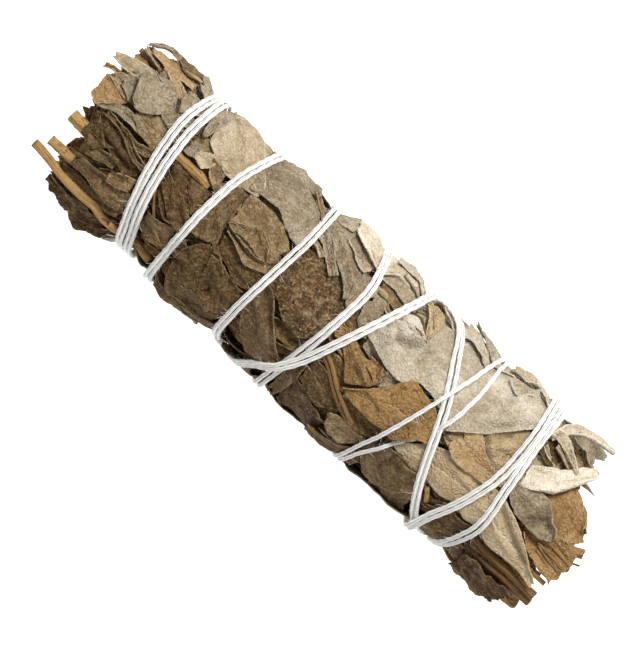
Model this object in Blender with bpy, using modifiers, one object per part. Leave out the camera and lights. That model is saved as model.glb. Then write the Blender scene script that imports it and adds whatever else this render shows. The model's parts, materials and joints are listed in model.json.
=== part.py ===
"""White sage smudge stick: dried leafy sprigs pressed into a round bundle and bound with cotton string.

The stick lies along X on a table at Z = 0. Seven sprigs stand round a middle one, each a solid of
pressed leaves with its woody stalks. Single leaves lie over them in two layers, and one string winds
round the whole: two turns at the left end, a spiral to the right end, and a crossing return.
Lengths are in millimetres until a mesh is made. Angles are in degrees round the stick, 0 straight up
and +90 towards +Y.
"""

import math
import random
from collections import namedtuple

import bmesh
import bpy
import numpy as np
from mathutils import Matrix, Vector
from mathutils.bvhtree import BVHTree

MM = 0.001

# Driving dimensions of the bundle
BUNDLE_RADIUS = 14.8
PRESSED_LENGTH = (-49.5, 50.5)
AXIS_X = -0.9
AXIS_Y = 0.3
AXIS_HEIGHT = 14.85
FLAT_DISTANCE = 14.0
FLAT_HALF_ANGLE = 45.0

# Leaves: two layers over the sprigs, each following the bundle's own surface
LEAF_THICKNESS = 0.6
LAYER_GAP = 0.45
LAYER_DEPTH = {2: 0.0, 1: LEAF_THICKNESS + LAYER_GAP, 0: 2.35}
SPRIG_DEPTH = 2.6
LEAF_ARC_RADIUS = 13.5
LEAF_LIFT = 0.55
LEAF_CELL = (3.0, 3.3)
PRESSED_CELL = (4.0, 4.4)
EDGE_WAVE = 0.07

# Sprigs: one in the middle and a ring of sectors round it
RING_SPRIGS = 7
RING_FIRST_ANGLE = -50.0
SPRIG_GAP = 0.4
INNER_RADIUS = 4.9
RING_INNER_RADIUS = 5.4
SPRIG_STATION = 4.2
RIDGE_HEIGHT = 0.2
PRESSED_LEAVES = 3
PRESSED_LEAF = (25.0, 8.8)
PRESSED_THICKNESS = 0.8
STALK_RADIUS = 1.0

# Cotton string, and how deep it presses into the leaves
STRING_DIAMETER = 1.0
STRING_GAP = 0.38
PRESSED_FLAT = 0.17
GROOVE_DEPTH = 1.3
GROOVE_WIDTH = 2.8
SPRIG_GROOVE_WIDTH = 4.0
CROSSING_RISE = 1.45
CROSSING_WIDTH = 1.5
STEPS_A_TURN = 22

# Where each turn of string crosses the top half of the stick: x at these angles, down the front
TURN_ANGLES = (90, 60, 30, 0, -30, -60, -90)
TURNS = (
    ("band, outer turn", (-37.1, -37.9, -38.9, -37.9, -36.0, -33.6, -32.0)),
    ("band, inner turn", (-35.3, -36.1, -36.8, -36.0, -34.2, -31.9, -30.2)),
    ("spiral, first", (-23.0, -24.0, -25.9, -26.6, -26.6, -26.4, -26.1)),
    ("spiral, second", (-11.2, -11.0, -10.9, -11.5, -12.2, -12.3, -11.7)),
    ("spiral, third", (-1.3, 0.3, 1.8, 1.1, 0.2, -1.1, -1.8)),
    ("long slant to the right end", (12.0, 16.5, 20.3, 24.2, 27.2, 30.2, 33.3)),
    ("right end, outer turn", (37.2, 37.6, 38.4, 39.2, 40.2, 38.7, 36.6)),
    ("right end, inner turn", (35.4, 35.8, 36.7, 37.0, 35.2, 32.5, 31.2)),
    ("return, first", (25.6, 24.6, 23.5, 21.4, 19.0, 17.0, 15.8)),
    ("return, second", (9.6, 9.1, 7.2, 4.2, 1.3, -3.5, -7.4)),
)
STRING_START = ((150, -33.0), (120, -35.4))
STRING_END = ((-140, -20.6), (-190, -23.2), (-225, -26.2))
# Where the long slant and the right end's outer turn cross, low on the +Y side: turn, angle, x
BACK_PLACES = ((5, -180, 34.2), (5, -225, 34.7), (6, -180, 36.7), (6, -225, 36.5))

TONES = {
    "cream": (0.62, 0.54, 0.41),
    "grey": (0.36, 0.31, 0.23),
    "tan": (0.44, 0.27, 0.13),
    "brown": (0.17, 0.11, 0.055),
    "dark": (0.085, 0.055, 0.03),
    "straw": (0.42, 0.25, 0.10),
    "cotton": (0.86, 0.84, 0.79),
}

Leaf = namedtuple("Leaf", "name stalk tip width layer tone")

# The leaves that show from above, each from its stalk end to its tip as (x, angle)
TOP_LEAVES = (
    Leaf("grey_end_leaf", (-39.8, 31), (-50.5, 33), 8.0, 2, "grey"),
    Leaf("cream_tip_leaf", (-44.0, 38), (-54.3, 36), 4.2, 1, "cream"),
    Leaf("curled_tan_leaf", (-43.5, 8), (-53.0, 5), 4.2, 2, "tan"),
    Leaf("long_midrib_leaf", (-34.5, 79), (-21.0, 27), 10.0, 1, "grey"),
    Leaf("pale_scrap_leaf", (-26.5, 33), (-34.0, 20), 4.6, 2, "cream"),
    Leaf("grey_folded_leaf", (-10.5, 56), (-24.0, 36), 8.6, 2, "grey"),
    Leaf("tan_square_leaf", (-12.5, 10), (-23.0, 12), 7.4, 2, "tan"),
    Leaf("brown_round_leaf", (-17.0, -29), (-25.2, -36), 9.0, 1, "brown"),
    Leaf("veined_brown_leaf", (-11.5, -7), (-1.8, -50), 7.0, 2, "brown"),
    Leaf("rusty_leaf", (-0.8, 17), (-11.0, 1), 8.0, 1, "brown"),
    Leaf("slanting_pale_leaf", (-9.0, 66), (1.2, 15), 6.0, 2, "grey"),
    Leaf("cream_fold_leaf", (8.5, 66), (-6.5, 74), 5.6, 1, "cream"),
    Leaf("big_pale_leaf", (24.0, 37), (5.4, 24), 11.5, 1, "cream"),
    Leaf("spotted_tan_leaf", (24.8, -9), (10.5, -17), 8.4, 2, "tan"),
    Leaf("split_tan_leaf", (1.5, 0), (12.0, -11), 5.6, 1, "tan"),
    Leaf("cream_side_leaf", (34.5, 68), (25.0, 2), 11.0, 2, "cream"),
    Leaf("cracked_tan_leaf", (37.5, 24), (26.6, 2), 6.4, 1, "tan"),
    Leaf("long_pointed_leaf", (25.0, -17), (52.5, -29), 7.6, 1, "tan"),
    Leaf("folded_cream_leaf", (38.6, 20), (48.3, 48), 6.4, 2, "cream"),
    Leaf("grey_green_leaf", (38.8, 3), (50.0, -4), 5.2, 2, "grey"),
    Leaf("tan_end_leaf", (43.5, 16), (56.0, 13), 5.4, 1, "tan"),
    Leaf("long_cream_strip", (38.0, 52), (47.8, 79), 2.6, 1, "cream"),
    Leaf("lower_brown_leaf", (27.0, -50), (18.2, -53), 5.0, 1, "brown"),
    Leaf("dark_side_leaf", (-33.5, -13), (-27.0, -34), 6.5, 1, "brown"),
    Leaf("dark_end_leaf", (-39.5, -23), (-51.5, -19), 8.0, 1, "dark"),
    Leaf("dark_low_leaf", (-34.0, -74), (-48.5, -84), 5.0, 2, "dark"),
)

# The leaves round the back follow a rule: rows along the stick, turned a little and in mixed tones
BACK_ROWS = {1: (-37.5, -12.5, 12.5, 37.5), 2: (-25.5, 0.0, 25.5)}
BACK_ANGLES = {1: (118, 178, 238), 2: (148, 208, 262)}
BACK_LEAF = {1: (20.5, 10.6), 2: (20.0, 10.2)}
BACK_TONES = ("grey", "brown", "cream", "brown", "tan", "dark", "grey")
SEED = 7

# Bare stalks that show on the surface: sprig they belong to, ends as (x, angle), depth and radius
SURFACE_STALKS = (
    (0, (-53.9, -50.5), (-27.0, -49.5), 2.0, 0.85),
    (0, (31.0, -45.5), (54.0, -43.5), 1.9, 1.05),
    (0, (43.0, -64.0), (53.0, -63.0), 2.1, 1.0),
    (1, (-36.5, 11.5), (-28.8, 11.0), 2.0, 0.8),
)
LOOSE_TWIGS = (
    ("loose_twig_1", (2.8, -15.5), (17.0, -43.5), 1.45, 0.4),
    ("loose_twig_2", (41.6, -58.0), (52.8, -57.0), 1.3, 0.5),
)


def clear_scene():
    for obj in list(bpy.data.objects):
        bpy.data.objects.remove(obj)


def new_collection(name):
    collection = bpy.data.collections.new(name)
    bpy.context.scene.collection.children.link(collection)
    return collection


def material(name):
    """The plain matt finish of one tone of dried leaf, stalk or cotton."""
    made = bpy.data.materials.get(name)
    if made is None:
        made = bpy.data.materials.new(name)
        made.use_nodes = True
        shader = made.node_tree.nodes["Principled BSDF"]
        shader.inputs["Base Color"].default_value = (*TONES[name], 1.0)
        shader.inputs["Roughness"].default_value = 0.9
        shader.inputs["Metallic"].default_value = 0.0
    return made


def angle_between(a, b):
    """a - b in degrees, brought to between -180 and 180."""
    return (np.asarray(a) - b + 180.0) % 360.0 - 180.0


def string_route():
    """The string's winding angle and x at every step, from its start under the band to its end."""
    knots = list(STRING_START)
    for turn, (_, places) in enumerate(TURNS):
        knots += [(angle - 360.0 * turn, x) for angle, x in zip(TURN_ANGLES, places)]
        knots += [(angle - 360.0 * turn, x) for of_turn, angle, x in BACK_PLACES if of_turn == turn]
    knots += [(angle - 360.0 * (len(TURNS) - 1), x) for angle, x in STRING_END]
    angles, places = np.array(knots, float).T
    steps = int(round((angles[0] - angles[-1]) / 360.0 * STEPS_A_TURN))
    wound = np.linspace(angles[0], angles[-1], steps + 1)
    x = np.interp(-wound, -angles, places)
    padded = np.concatenate([[x[0]], x, [x[-1]]])
    return wound, (padded[:-2] + 2.0 * padded[1:-1] + padded[2:]) / 4.0


ROUTE_ANGLES, ROUTE_X = string_route()


def distance_to_string(x, angle):
    """How far points lie from the nearest run of string, measured over the surface."""
    across = np.radians(angle_between(np.asarray(angle)[..., None], ROUTE_ANGLES)) * LEAF_ARC_RADIUS
    along = np.asarray(x)[..., None] - ROUTE_X
    return np.sqrt(across**2 + along**2).min(-1)


def groove(x, angle, width):
    """0 away from the string and 1 beneath it."""
    return np.exp(-((distance_to_string(x, angle) / width) ** 2))


def bundle_radius(x, angle, width=GROOVE_WIDTH):
    """The leafy surface: round with gentle swells, flat beneath, and pulled in under the string."""
    turn = np.radians(angle)
    swell = 0.28 * np.sin(x / 2.9 + 2.0 * turn) + 0.22 * np.sin(4.0 * turn - x / 3.7 + 1.0)
    radius = BUNDLE_RADIUS + swell
    below = angle_between(angle, 180.0)
    near = np.abs(below) < FLAT_HALF_ANGLE
    flat = FLAT_DISTANCE / np.cos(np.radians(np.where(near, below, 0.0)))
    radius = np.where(near, np.minimum(radius, flat), radius)
    return radius - GROOVE_DEPTH * groove(x, angle, width)


def on_stick(x, angle, radius):
    """Points in metres from x, angle and radius."""
    turn = np.radians(angle)
    places = np.stack([x + 0.0 * radius, radius * np.sin(turn), radius * np.cos(turn)], axis=-1)
    return places * MM


def add_object(name, mesh, collection, tone):
    obj = bpy.data.objects.new(name, mesh)
    collection.objects.link(obj)
    if not mesh.materials:
        mesh.materials.append(material(tone))
    return obj


def leaf_half_width(s, width):
    """Half the blade's width: narrow at the stalk, widest past the middle, blunt at the tip."""
    share = np.sin(np.pi * np.clip(s, 0.0, 1.0) ** 0.85) ** 0.7
    return 0.5 * width * (0.16 + 0.84 * share)


def leaf_surface(leaf, s, t):
    """x, angle and radius at the share s from stalk to tip and t, -1 to 1, from side to side."""
    start = np.array([leaf.stalk[0], math.radians(leaf.stalk[1]) * LEAF_ARC_RADIUS])
    end = np.array([leaf.tip[0], math.radians(leaf.tip[1]) * LEAF_ARC_RADIUS])
    along = (end - start) / np.linalg.norm(end - start)
    across = np.array([-along[1], along[0]])
    phase = 1.3 * leaf.stalk[0] + leaf.width
    wave = 1.0 + EDGE_WAVE * np.sin(16.0 * s + phase + 2.0 * np.sign(t))
    side = leaf_half_width(s, leaf.width) * t * wave
    flat = start + s[:, None] * (end - start) + side[:, None] * across
    x, angle = flat[:, 0], np.degrees(flat[:, 1] / LEAF_ARC_RADIUS)
    radius = bundle_radius(x, angle) - LAYER_DEPTH[leaf.layer]
    if leaf.layer == 2:
        free = 1.0 - groove(x, angle, GROOVE_WIDTH)
        near_floor = np.abs(angle_between(angle, 180.0)) < FLAT_HALF_ANGLE
        curl = np.abs(t) ** 2 * (0.5 + 0.5 * np.sin(7.0 * s + phase))
        radius = radius + LEAF_LIFT * curl * free * np.where(near_floor, 0.0, 1.0)
    return x, angle, radius


def make_leaf(leaf, collection, thickness=LEAF_THICKNESS, cell=LEAF_CELL):
    """One leaf as a thin blade: a grid laid on the bundle, then given its thickness inwards."""
    length = math.hypot(
        leaf.tip[0] - leaf.stalk[0],
        math.radians(leaf.tip[1] - leaf.stalk[1]) * LEAF_ARC_RADIUS,
    )
    columns = max(3, round(length / cell[0]))
    rows = max(2, round(leaf.width / cell[1]))
    shape = bmesh.new()
    bmesh.ops.create_grid(shape, x_segments=columns, y_segments=rows, size=0.5)
    grid = np.array([v.co for v in shape.verts])
    places = on_stick(*leaf_surface(leaf, grid[:, 0] + 0.5, 2.0 * grid[:, 1]))
    for vert, place in zip(shape.verts, places):
        vert.co = place
    bmesh.ops.triangulate(shape, faces=shape.faces[:])
    mesh = bpy.data.meshes.new(leaf.name)
    shape.to_mesh(mesh)
    shape.free()
    obj = add_object(leaf.name, mesh, collection, leaf.tone)
    thicken(obj, thickness)
    return obj


def thicken(obj, thickness):
    solidify = obj.modifiers.new("blade thickness", "SOLIDIFY")
    solidify.thickness = thickness * MM
    solidify.offset = -1.0


def back_leaves():
    """The leaves of the hidden side: rows along the stick, each turned a little, tones in turn."""
    draw = random.Random(SEED)
    leaves = []
    for layer, rows in BACK_ROWS.items():
        length, width = BACK_LEAF[layer]
        for row, x in enumerate(rows):
            for place, angle in enumerate(BACK_ANGLES[layer]):
                slant = draw.uniform(-0.16, 0.16) + 0.06 * (-1) ** row
                half = 0.5 * length * draw.uniform(0.93, 1.0) * (-1) ** (row + place)
                turn = math.degrees(half * math.sin(slant) / LEAF_ARC_RADIUS)
                reach = half * math.cos(slant)
                tone = BACK_TONES[len(leaves) % len(BACK_TONES)]
                name = f"back_leaf_{len(leaves) + 1:02d}"
                stalk, tip = (x - reach, angle - turn), (x + reach, angle + turn)
                leaves.append(Leaf(name, stalk, tip, width * draw.uniform(0.88, 1.0), layer, tone))
    return leaves


def make_rod(name, start, end, radius, collection, tone, sides=7):
    """A straight woody stalk between two points in metres."""
    start, end = Vector(start), Vector(end)
    shape = bmesh.new()
    turn = (end - start).to_track_quat("Z", "Y").to_matrix().to_4x4()
    bmesh.ops.create_cone(
        shape,
        cap_ends=True,
        segments=sides,
        radius1=radius * MM,
        radius2=radius * 0.92 * MM,
        depth=(end - start).length,
        matrix=Matrix.Translation((start + end) / 2) @ turn,
    )
    mesh = bpy.data.meshes.new(name)
    shape.to_mesh(mesh)
    shape.free()
    return add_object(name, mesh, collection, tone)


def tube(name, places, diameter, roundness):
    """A capped tube along a line of points, as a curve object."""
    curve = bpy.data.curves.new(name, "CURVE")
    curve.dimensions = "3D"
    curve.bevel_depth = 0.5 * diameter * MM
    curve.bevel_resolution = roundness
    curve.use_fill_caps = True
    line = curve.splines.new("POLY")
    line.points.add(len(places) - 1)
    for point, place in zip(line.points, places):
        point.co = (*place, 1.0)
    return bpy.data.objects.new(name, curve)


def make_surface_rod(name, start, end, depth, radius, collection, tone):
    """A stalk that lies on the bundle and follows its surface from one (x, angle) to another."""
    share = np.linspace(0.0, 1.0, 9)
    x = start[0] + share * (end[0] - start[0])
    angle = start[1] + share * (end[1] - start[1])
    places = on_stick(x, angle, bundle_radius(x, angle, SPRIG_GROOVE_WIDTH) - depth)
    return meshed(tube(name, places, 2.0 * radius, 1), collection, tone)


def meshed(curve_object, collection, tone):
    """A curve object turned into a closed mesh object, and the curve removed."""
    collection.objects.link(curve_object)
    bpy.context.view_layer.update()
    graph = bpy.context.evaluated_depsgraph_get()
    mesh = bpy.data.meshes.new_from_object(curve_object.evaluated_get(graph))
    shape = bmesh.new()
    shape.from_mesh(mesh)
    bmesh.ops.remove_doubles(shape, verts=shape.verts, dist=1e-6)
    shape.to_mesh(mesh)
    shape.free()
    name, place = curve_object.name, curve_object.matrix_world.copy()
    bpy.data.objects.remove(curve_object)
    obj = add_object(name, mesh, collection, tone)
    obj.matrix_world = place
    return obj


def loft(name, rings, collection, tone):
    """A closed solid through rings of points, each ring in the same turning sense, with flat ends."""
    shape = bmesh.new()
    rows = [[shape.verts.new(point) for point in ring] for ring in rings]
    for one, two in zip(rows, rows[1:]):
        for i in range(len(one)):
            j = (i + 1) % len(one)
            shape.faces.new((one[i], one[j], two[j], two[i]))
    shape.faces.new(rows[0][::-1])
    shape.faces.new(rows[-1])
    bmesh.ops.triangulate(shape, faces=shape.faces[:])
    bmesh.ops.recalc_face_normals(shape, faces=shape.faces[:])
    mesh = bpy.data.meshes.new(name)
    shape.to_mesh(mesh)
    shape.free()
    return add_object(name, mesh, collection, tone)


def sector_ring(x, middle, half_angle):
    """One cross-section of a ring sprig: its ridged outer face and its hollow inner face."""
    shares = np.linspace(-1.0, 1.0, 5)
    inner_shares = np.linspace(1.0, -1.0, 3)
    trim = math.degrees(0.5 * SPRIG_GAP / BUNDLE_RADIUS)
    angle = middle + shares * (half_angle - trim * 1.2)
    ridge = RIDGE_HEIGHT * np.abs(np.sin(0.24 * x + 3.0 * np.radians(angle) * 4.0))
    radius = bundle_radius(x + 0.0 * angle, angle, SPRIG_GROOVE_WIDTH) - SPRIG_DEPTH - ridge
    inner_trim = math.degrees(0.5 * SPRIG_GAP / RING_INNER_RADIUS)
    inner_angle = middle + inner_shares * (half_angle - inner_trim * 1.05)
    inner_radius = RING_INNER_RADIUS + 0.0 * inner_angle
    outer = on_stick(x, angle, radius)
    inner = on_stick(x, inner_angle, inner_radius)
    return np.concatenate([outer, inner])


def end_blades(name, middle, half_angle, ends, draw, collection):
    """Leaf ends that stand out of a sprig's two cut ends, each curved round the stick's axis."""
    blades = []
    for side, end in zip((-1.0, 1.0), ends):
        for number, radius in enumerate((7.9, 11.2)):
            reach = draw.uniform(1.6, 4.6)
            spread = math.radians(half_angle) * radius - 1.1
            shape = bmesh.new()
            bmesh.ops.create_grid(shape, x_segments=3, y_segments=3, size=0.5)
            grid = np.array([v.co for v in shape.verts])
            s, t = grid[:, 0] + 0.5, 2.0 * grid[:, 1]
            x = end + side * (-2.6 + s * (2.6 + reach * (1.0 - 0.25 * t**2)))
            angle = middle + np.degrees(side * t * spread * (1.0 - 0.2 * s) / radius)
            wave = 0.35 * np.sin(3.1 * t + 2.0 * s + radius + end)
            places = on_stick(x, angle, radius + wave * s)
            for vert, place in zip(shape.verts, places):
                vert.co = place
            bmesh.ops.triangulate(shape, faces=shape.faces[:])
            mesh = bpy.data.meshes.new(f"{name}_blade")
            shape.to_mesh(mesh)
            shape.free()
            blade = add_object(f"{name}_blade_{len(blades)}_{number}", mesh, collection, "brown")
            thicken(blade, LEAF_THICKNESS)
            blades.append(blade)
    return blades


def pressed_leaves(name, middle, ends, draw, collection):
    """Leaves pressed on a sprig's outer face, each standing a little out of it, alternately turned."""
    leaves = []
    length, width = PRESSED_LEAF
    places = np.linspace(ends[0] + 0.46 * length, ends[1] - 0.46 * length, PRESSED_LEAVES)
    for number, x in enumerate(places):
        half = 0.5 * length * (-1) ** (number // 2)
        side = middle + 1.5 * (-1) ** number
        turn = draw.uniform(-3.0, 3.0)
        size = width * draw.uniform(0.88, 1.0)
        stalk, tip = (x - half, side - turn), (x + half, side + turn)
        leaf = Leaf(f"{name}_leaf_{number}", stalk, tip, size, 0, "dark")
        leaves.append(make_leaf(leaf, collection, PRESSED_THICKNESS, PRESSED_CELL))
    return leaves


def fuse(obj, pieces, helpers):
    """Joins pieces into obj by one Boolean union, applied, and removes them."""
    union = obj.modifiers.new("joined pieces", "BOOLEAN")
    union.operation = "UNION"
    union.operand_type = "COLLECTION"
    union.collection = helpers
    union.solver = "MANIFOLD"
    bpy.context.view_layer.update()
    graph = bpy.context.evaluated_depsgraph_get()
    mesh = bpy.data.meshes.new_from_object(obj.evaluated_get(graph))
    fill_cavities(mesh)
    obj.modifiers.clear()
    obj.data = mesh
    for piece in pieces:
        bpy.data.objects.remove(piece)


def fill_cavities(mesh):
    """Fills the sealed pockets a union leaves inside a sprig, by keeping its outer skin alone."""
    shape = bmesh.new()
    shape.from_mesh(mesh)
    skins = []
    left = set(shape.verts)
    while left:
        reached = [left.pop()]
        skin = set(reached)
        while reached:
            vert = reached.pop()
            near = {edge.other_vert(vert) for edge in vert.link_edges} - skin
            skin |= near
            reached += near
        left -= skin
        skins.append(skin)
    outer = max(skins, key=len)
    bmesh.ops.delete(shape, geom=[v for v in shape.verts if v not in outer], context="VERTS")
    shape.to_mesh(mesh)
    shape.free()


def make_ring_sprig(number, collection, helpers, draw):
    """One leafy sprig of the ring: pressed leaves, leaf ends and its woody stalks, in one piece."""
    half_angle = 180.0 / RING_SPRIGS
    middle = RING_FIRST_ANGLE + number * 2.0 * half_angle
    ends = (PRESSED_LENGTH[0] + draw.uniform(-0.8, 1.6), PRESSED_LENGTH[1] + draw.uniform(-1.6, 0.8))
    stations = np.linspace(ends[0], ends[1], round((ends[1] - ends[0]) / SPRIG_STATION))
    name = f"leafy_sprig_{number + 1}"
    rings = [sector_ring(x, middle, half_angle) for x in stations]
    sprig = loft(name, rings, collection, "dark")
    pieces = end_blades(name, middle, half_angle, ends, draw, helpers)
    pieces += pressed_leaves(name, middle, ends, draw, helpers)
    stalk_angle = middle + draw.uniform(-6.0, 6.0)
    reach = (ends[0] - draw.uniform(1.5, 4.0), ends[1] + draw.uniform(1.2, 5.0))
    tips = [on_stick(np.float64(x), stalk_angle, np.float64(9.6)) for x in reach]
    pieces.append(make_rod(f"{name}_stalk", tips[0], tips[1], STALK_RADIUS, helpers, "straw"))
    for place, (owner, start, end, depth, radius) in enumerate(SURFACE_STALKS):
        if owner == number:
            rod = make_surface_rod(f"{name}_rod_{place}", start, end, depth, radius, helpers, "straw")
            pieces.append(rod)
    fuse(sprig, pieces, helpers)
    return sprig


def make_inner_sprig(collection, helpers, draw):
    """The middle sprig: a round core of pressed leaves with three stalks through it."""
    ends = on_stick(np.array(PRESSED_LENGTH), np.zeros(2), np.zeros(2))
    sprig = make_rod("inner_sprig", ends[0], ends[1], INNER_RADIUS, collection, "dark", sides=12)
    pieces = []
    for number in range(3):
        angle = 40.0 + 120.0 * number
        reach = (PRESSED_LENGTH[0] - draw.uniform(1.0, 3.0), PRESSED_LENGTH[1] + draw.uniform(1.0, 3.0))
        tips = [on_stick(np.float64(x), angle, np.float64(2.6)) for x in reach]
        pieces.append(make_rod(f"inner_stalk_{number}", tips[0], tips[1], 0.9, helpers, "straw"))
    fuse(sprig, pieces, helpers)
    return sprig


def surface_tree(objects):
    """One search tree over all the leaves and sprigs as they are finished."""
    bpy.context.view_layer.update()
    graph = bpy.context.evaluated_depsgraph_get()
    points, faces = [], []
    for obj in objects:
        evaluated = obj.evaluated_get(graph)
        mesh = evaluated.to_mesh()
        first = len(points)
        points += [obj.matrix_world @ v.co for v in mesh.vertices]
        faces += [[first + i for i in polygon.vertices] for polygon in mesh.polygons]
        evaluated.to_mesh_clear()
    return BVHTree.FromPolygons(points, faces)


def height_beneath(tree, x, angle):
    """The highest leaf surface under a string at x and angle, found from outside inwards."""
    found = []
    for shift in (-0.6, -0.3, 0.0, 0.3, 0.6):
        for turn in (-8.0, -4.0, 0.0, 4.0, 8.0):
            outside = Vector(on_stick(np.float64(x + shift), angle + turn, np.float64(30.0)))
            inwards = -Vector((0.0, outside.y, outside.z)).normalized()
            hit = tree.ray_cast(outside, inwards, 0.03)[0]
            if hit is not None:
                found.append(math.hypot(hit.y, hit.z) / MM)
    return max(found, default=BUNDLE_RADIUS - GROOVE_DEPTH)


def string_radius(tree):
    """How far the string's middle lies from the axis: taut over the high spots, over itself at each
    crossing, and level where the stick lies on the table."""
    beneath = np.array([height_beneath(tree, x, a) for a, x in zip(ROUTE_ANGLES, ROUTE_X)])
    padded = np.pad(beneath, 1, mode="edge")
    taut = np.maximum(np.maximum(padded[:-2], padded[1:-1]), padded[2:])
    padded = np.pad(taut, 1, mode="edge")
    smooth = (padded[:-2] + 2.0 * padded[1:-1] + padded[2:]) / 4.0
    radius = np.maximum(smooth, beneath) + STRING_GAP + 0.5 * STRING_DIAMETER + 0.14
    below = angle_between(ROUTE_ANGLES, 180.0)
    level = (AXIS_HEIGHT - 0.5 * STRING_DIAMETER + PRESSED_FLAT) / np.cos(np.radians(below))
    radius = np.where(np.abs(below) < 17.0, level, radius)
    for j in range(len(radius)):
        earlier = slice(0, max(0, j - STEPS_A_TURN // 2))
        turn = angle_between(ROUTE_ANGLES[earlier], ROUTE_ANGLES[j])
        gap = np.hypot(np.radians(turn) * LEAF_ARC_RADIUS, ROUTE_X[earlier] - ROUTE_X[j])
        if gap.size:
            radius[j] += CROSSING_RISE * math.exp(-((gap.min() / CROSSING_WIDTH) ** 2))
    return radius


def make_string(tree, collection):
    """The cotton string, one long tube, pressed flat on its underside where the stick rests."""
    places = on_stick(ROUTE_X, ROUTE_ANGLES, string_radius(tree))
    obj = meshed(tube("cotton_string", places, STRING_DIAMETER, 2), collection, "cotton")
    for vert in obj.data.vertices:
        vert.co.z = max(vert.co.z, -AXIS_HEIGHT * MM)
    return obj


def main():
    clear_scene()
    stick = new_collection("sage_smudge_stick")
    helpers = new_collection("helpers")
    draw = random.Random(SEED)
    leafy = [make_ring_sprig(number, stick, helpers, draw) for number in range(RING_SPRIGS)]
    leafy.append(make_inner_sprig(stick, helpers, draw))
    leafy += [make_leaf(leaf, stick) for leaf in (*TOP_LEAVES, *back_leaves())]
    for name, start, end, depth, radius in LOOSE_TWIGS:
        leafy.append(make_surface_rod(name, start, end, depth, radius, stick, "straw"))
    string = make_string(surface_tree(leafy), stick)
    place = bpy.data.objects.new("stick_place", None)
    stick.objects.link(place)
    place.location = Vector((AXIS_X, AXIS_Y, AXIS_HEIGHT)) * MM
    for obj in (*leafy, string):
        obj.parent = place


main()
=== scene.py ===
import json
import math

import bpy
import numpy as np
from mathutils.bvhtree import BVHTree
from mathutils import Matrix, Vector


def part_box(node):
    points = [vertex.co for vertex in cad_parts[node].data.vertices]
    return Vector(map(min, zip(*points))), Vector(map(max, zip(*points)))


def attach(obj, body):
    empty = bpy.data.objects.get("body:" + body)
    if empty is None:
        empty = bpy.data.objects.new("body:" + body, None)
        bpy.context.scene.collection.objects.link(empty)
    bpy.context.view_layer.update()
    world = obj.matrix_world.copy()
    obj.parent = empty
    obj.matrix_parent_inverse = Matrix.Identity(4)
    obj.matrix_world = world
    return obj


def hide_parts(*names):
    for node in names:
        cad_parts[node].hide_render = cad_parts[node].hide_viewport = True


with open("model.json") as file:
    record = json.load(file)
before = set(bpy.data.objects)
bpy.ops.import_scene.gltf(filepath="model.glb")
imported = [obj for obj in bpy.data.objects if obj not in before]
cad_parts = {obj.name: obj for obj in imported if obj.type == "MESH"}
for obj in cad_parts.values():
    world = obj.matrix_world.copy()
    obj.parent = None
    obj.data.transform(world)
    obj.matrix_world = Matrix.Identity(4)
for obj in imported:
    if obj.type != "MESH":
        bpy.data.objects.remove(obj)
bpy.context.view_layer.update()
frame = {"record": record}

# The pressed bundle that every leaf and the string lie on: leafy sprigs squeezed into a round stick by
# the string, so its surface swells gently between the turns, dips under each, and is flat beneath.
AXIS = np.array([-0.9, 0.3, 14.85])
BUNDLE_RADIUS = 14.8
FLAT_DISTANCE = 14.0
ARC_RADIUS = 13.5
TURN_ANGLES = (90, 60, 30, 0, -30, -60, -90)
TURNS = (
    (-37.1, -37.9, -38.9, -37.9, -36.0, -34.0, -33.0),
    (-35.3, -36.1, -36.8, -36.0, -34.2, -32.3, -31.2),
    (-23.0, -24.0, -25.9, -26.6, -26.6, -26.4, -26.1),
    (-11.2, -11.0, -10.9, -11.5, -12.2, -12.3, -11.7),
    (-1.3, 0.3, 1.8, 1.1, 0.2, -1.1, -1.8),
    (12.0, 16.5, 20.3, 24.2, 27.2, 30.2, 33.3),
    (37.2, 37.6, 38.0, 38.9, 40.2, 38.7, 36.6),
    (35.4, 35.8, 36.8, 37.1, 35.2, 32.5, 31.2),
    (25.6, 24.6, 23.5, 21.4, 19.0, 17.0, 15.8),
    (9.6, 9.1, 7.2, 4.2, 1.3, -3.5, -7.4),
)
BACK_PLACES = ((5, -180, 34.2), (5, -225, 34.7), (6, -180, 36.7), (6, -225, 36.5))


def wound(steps_a_turn):
    """The string's winding angle and its x, evenly stepped: straight lines between the measured
    crossings of the front, averaged over about 12 degrees to round the corners."""
    knots = [(150, -33.0), (120, -35.4)]
    for turn, places in enumerate(TURNS):
        first, last = 1.6 * places[0] - 0.6 * places[1], 1.6 * places[-1] - 0.6 * places[-2]
        angles = (112, *TURN_ANGLES, -112)
        knots += [(angle - 360.0 * turn, x) for angle, x in zip(angles, (first, *places, last))]
        knots += [(angle - 360.0 * turn, x) for of_turn, angle, x in BACK_PLACES if of_turn == turn]
    end = ((-140, -20.6), (-190, -23.2), (-225, -26.2))
    knots += [(angle - 360.0 * (len(TURNS) - 1), x) for angle, x in end]
    angles, places = np.array(knots, float).T
    steps = int(round((angles[0] - angles[-1]) / 360.0 * steps_a_turn))
    along = np.linspace(angles[0], angles[-1], steps + 1)
    reach = max(1, round(steps_a_turn / 30))
    x = np.interp(-along, -angles, places)
    padded = np.pad(x, reach, mode="edge")
    return along, np.convolve(padded, np.full(2 * reach + 1, 1.0 / (2 * reach + 1)), mode="valid")


ROUTE_ANGLES, ROUTE_X = wound(36)


def turned(angle, other):
    """angle - other in degrees, between -180 and 180."""
    return (angle - other + 180.0) % 360.0 - 180.0


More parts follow.
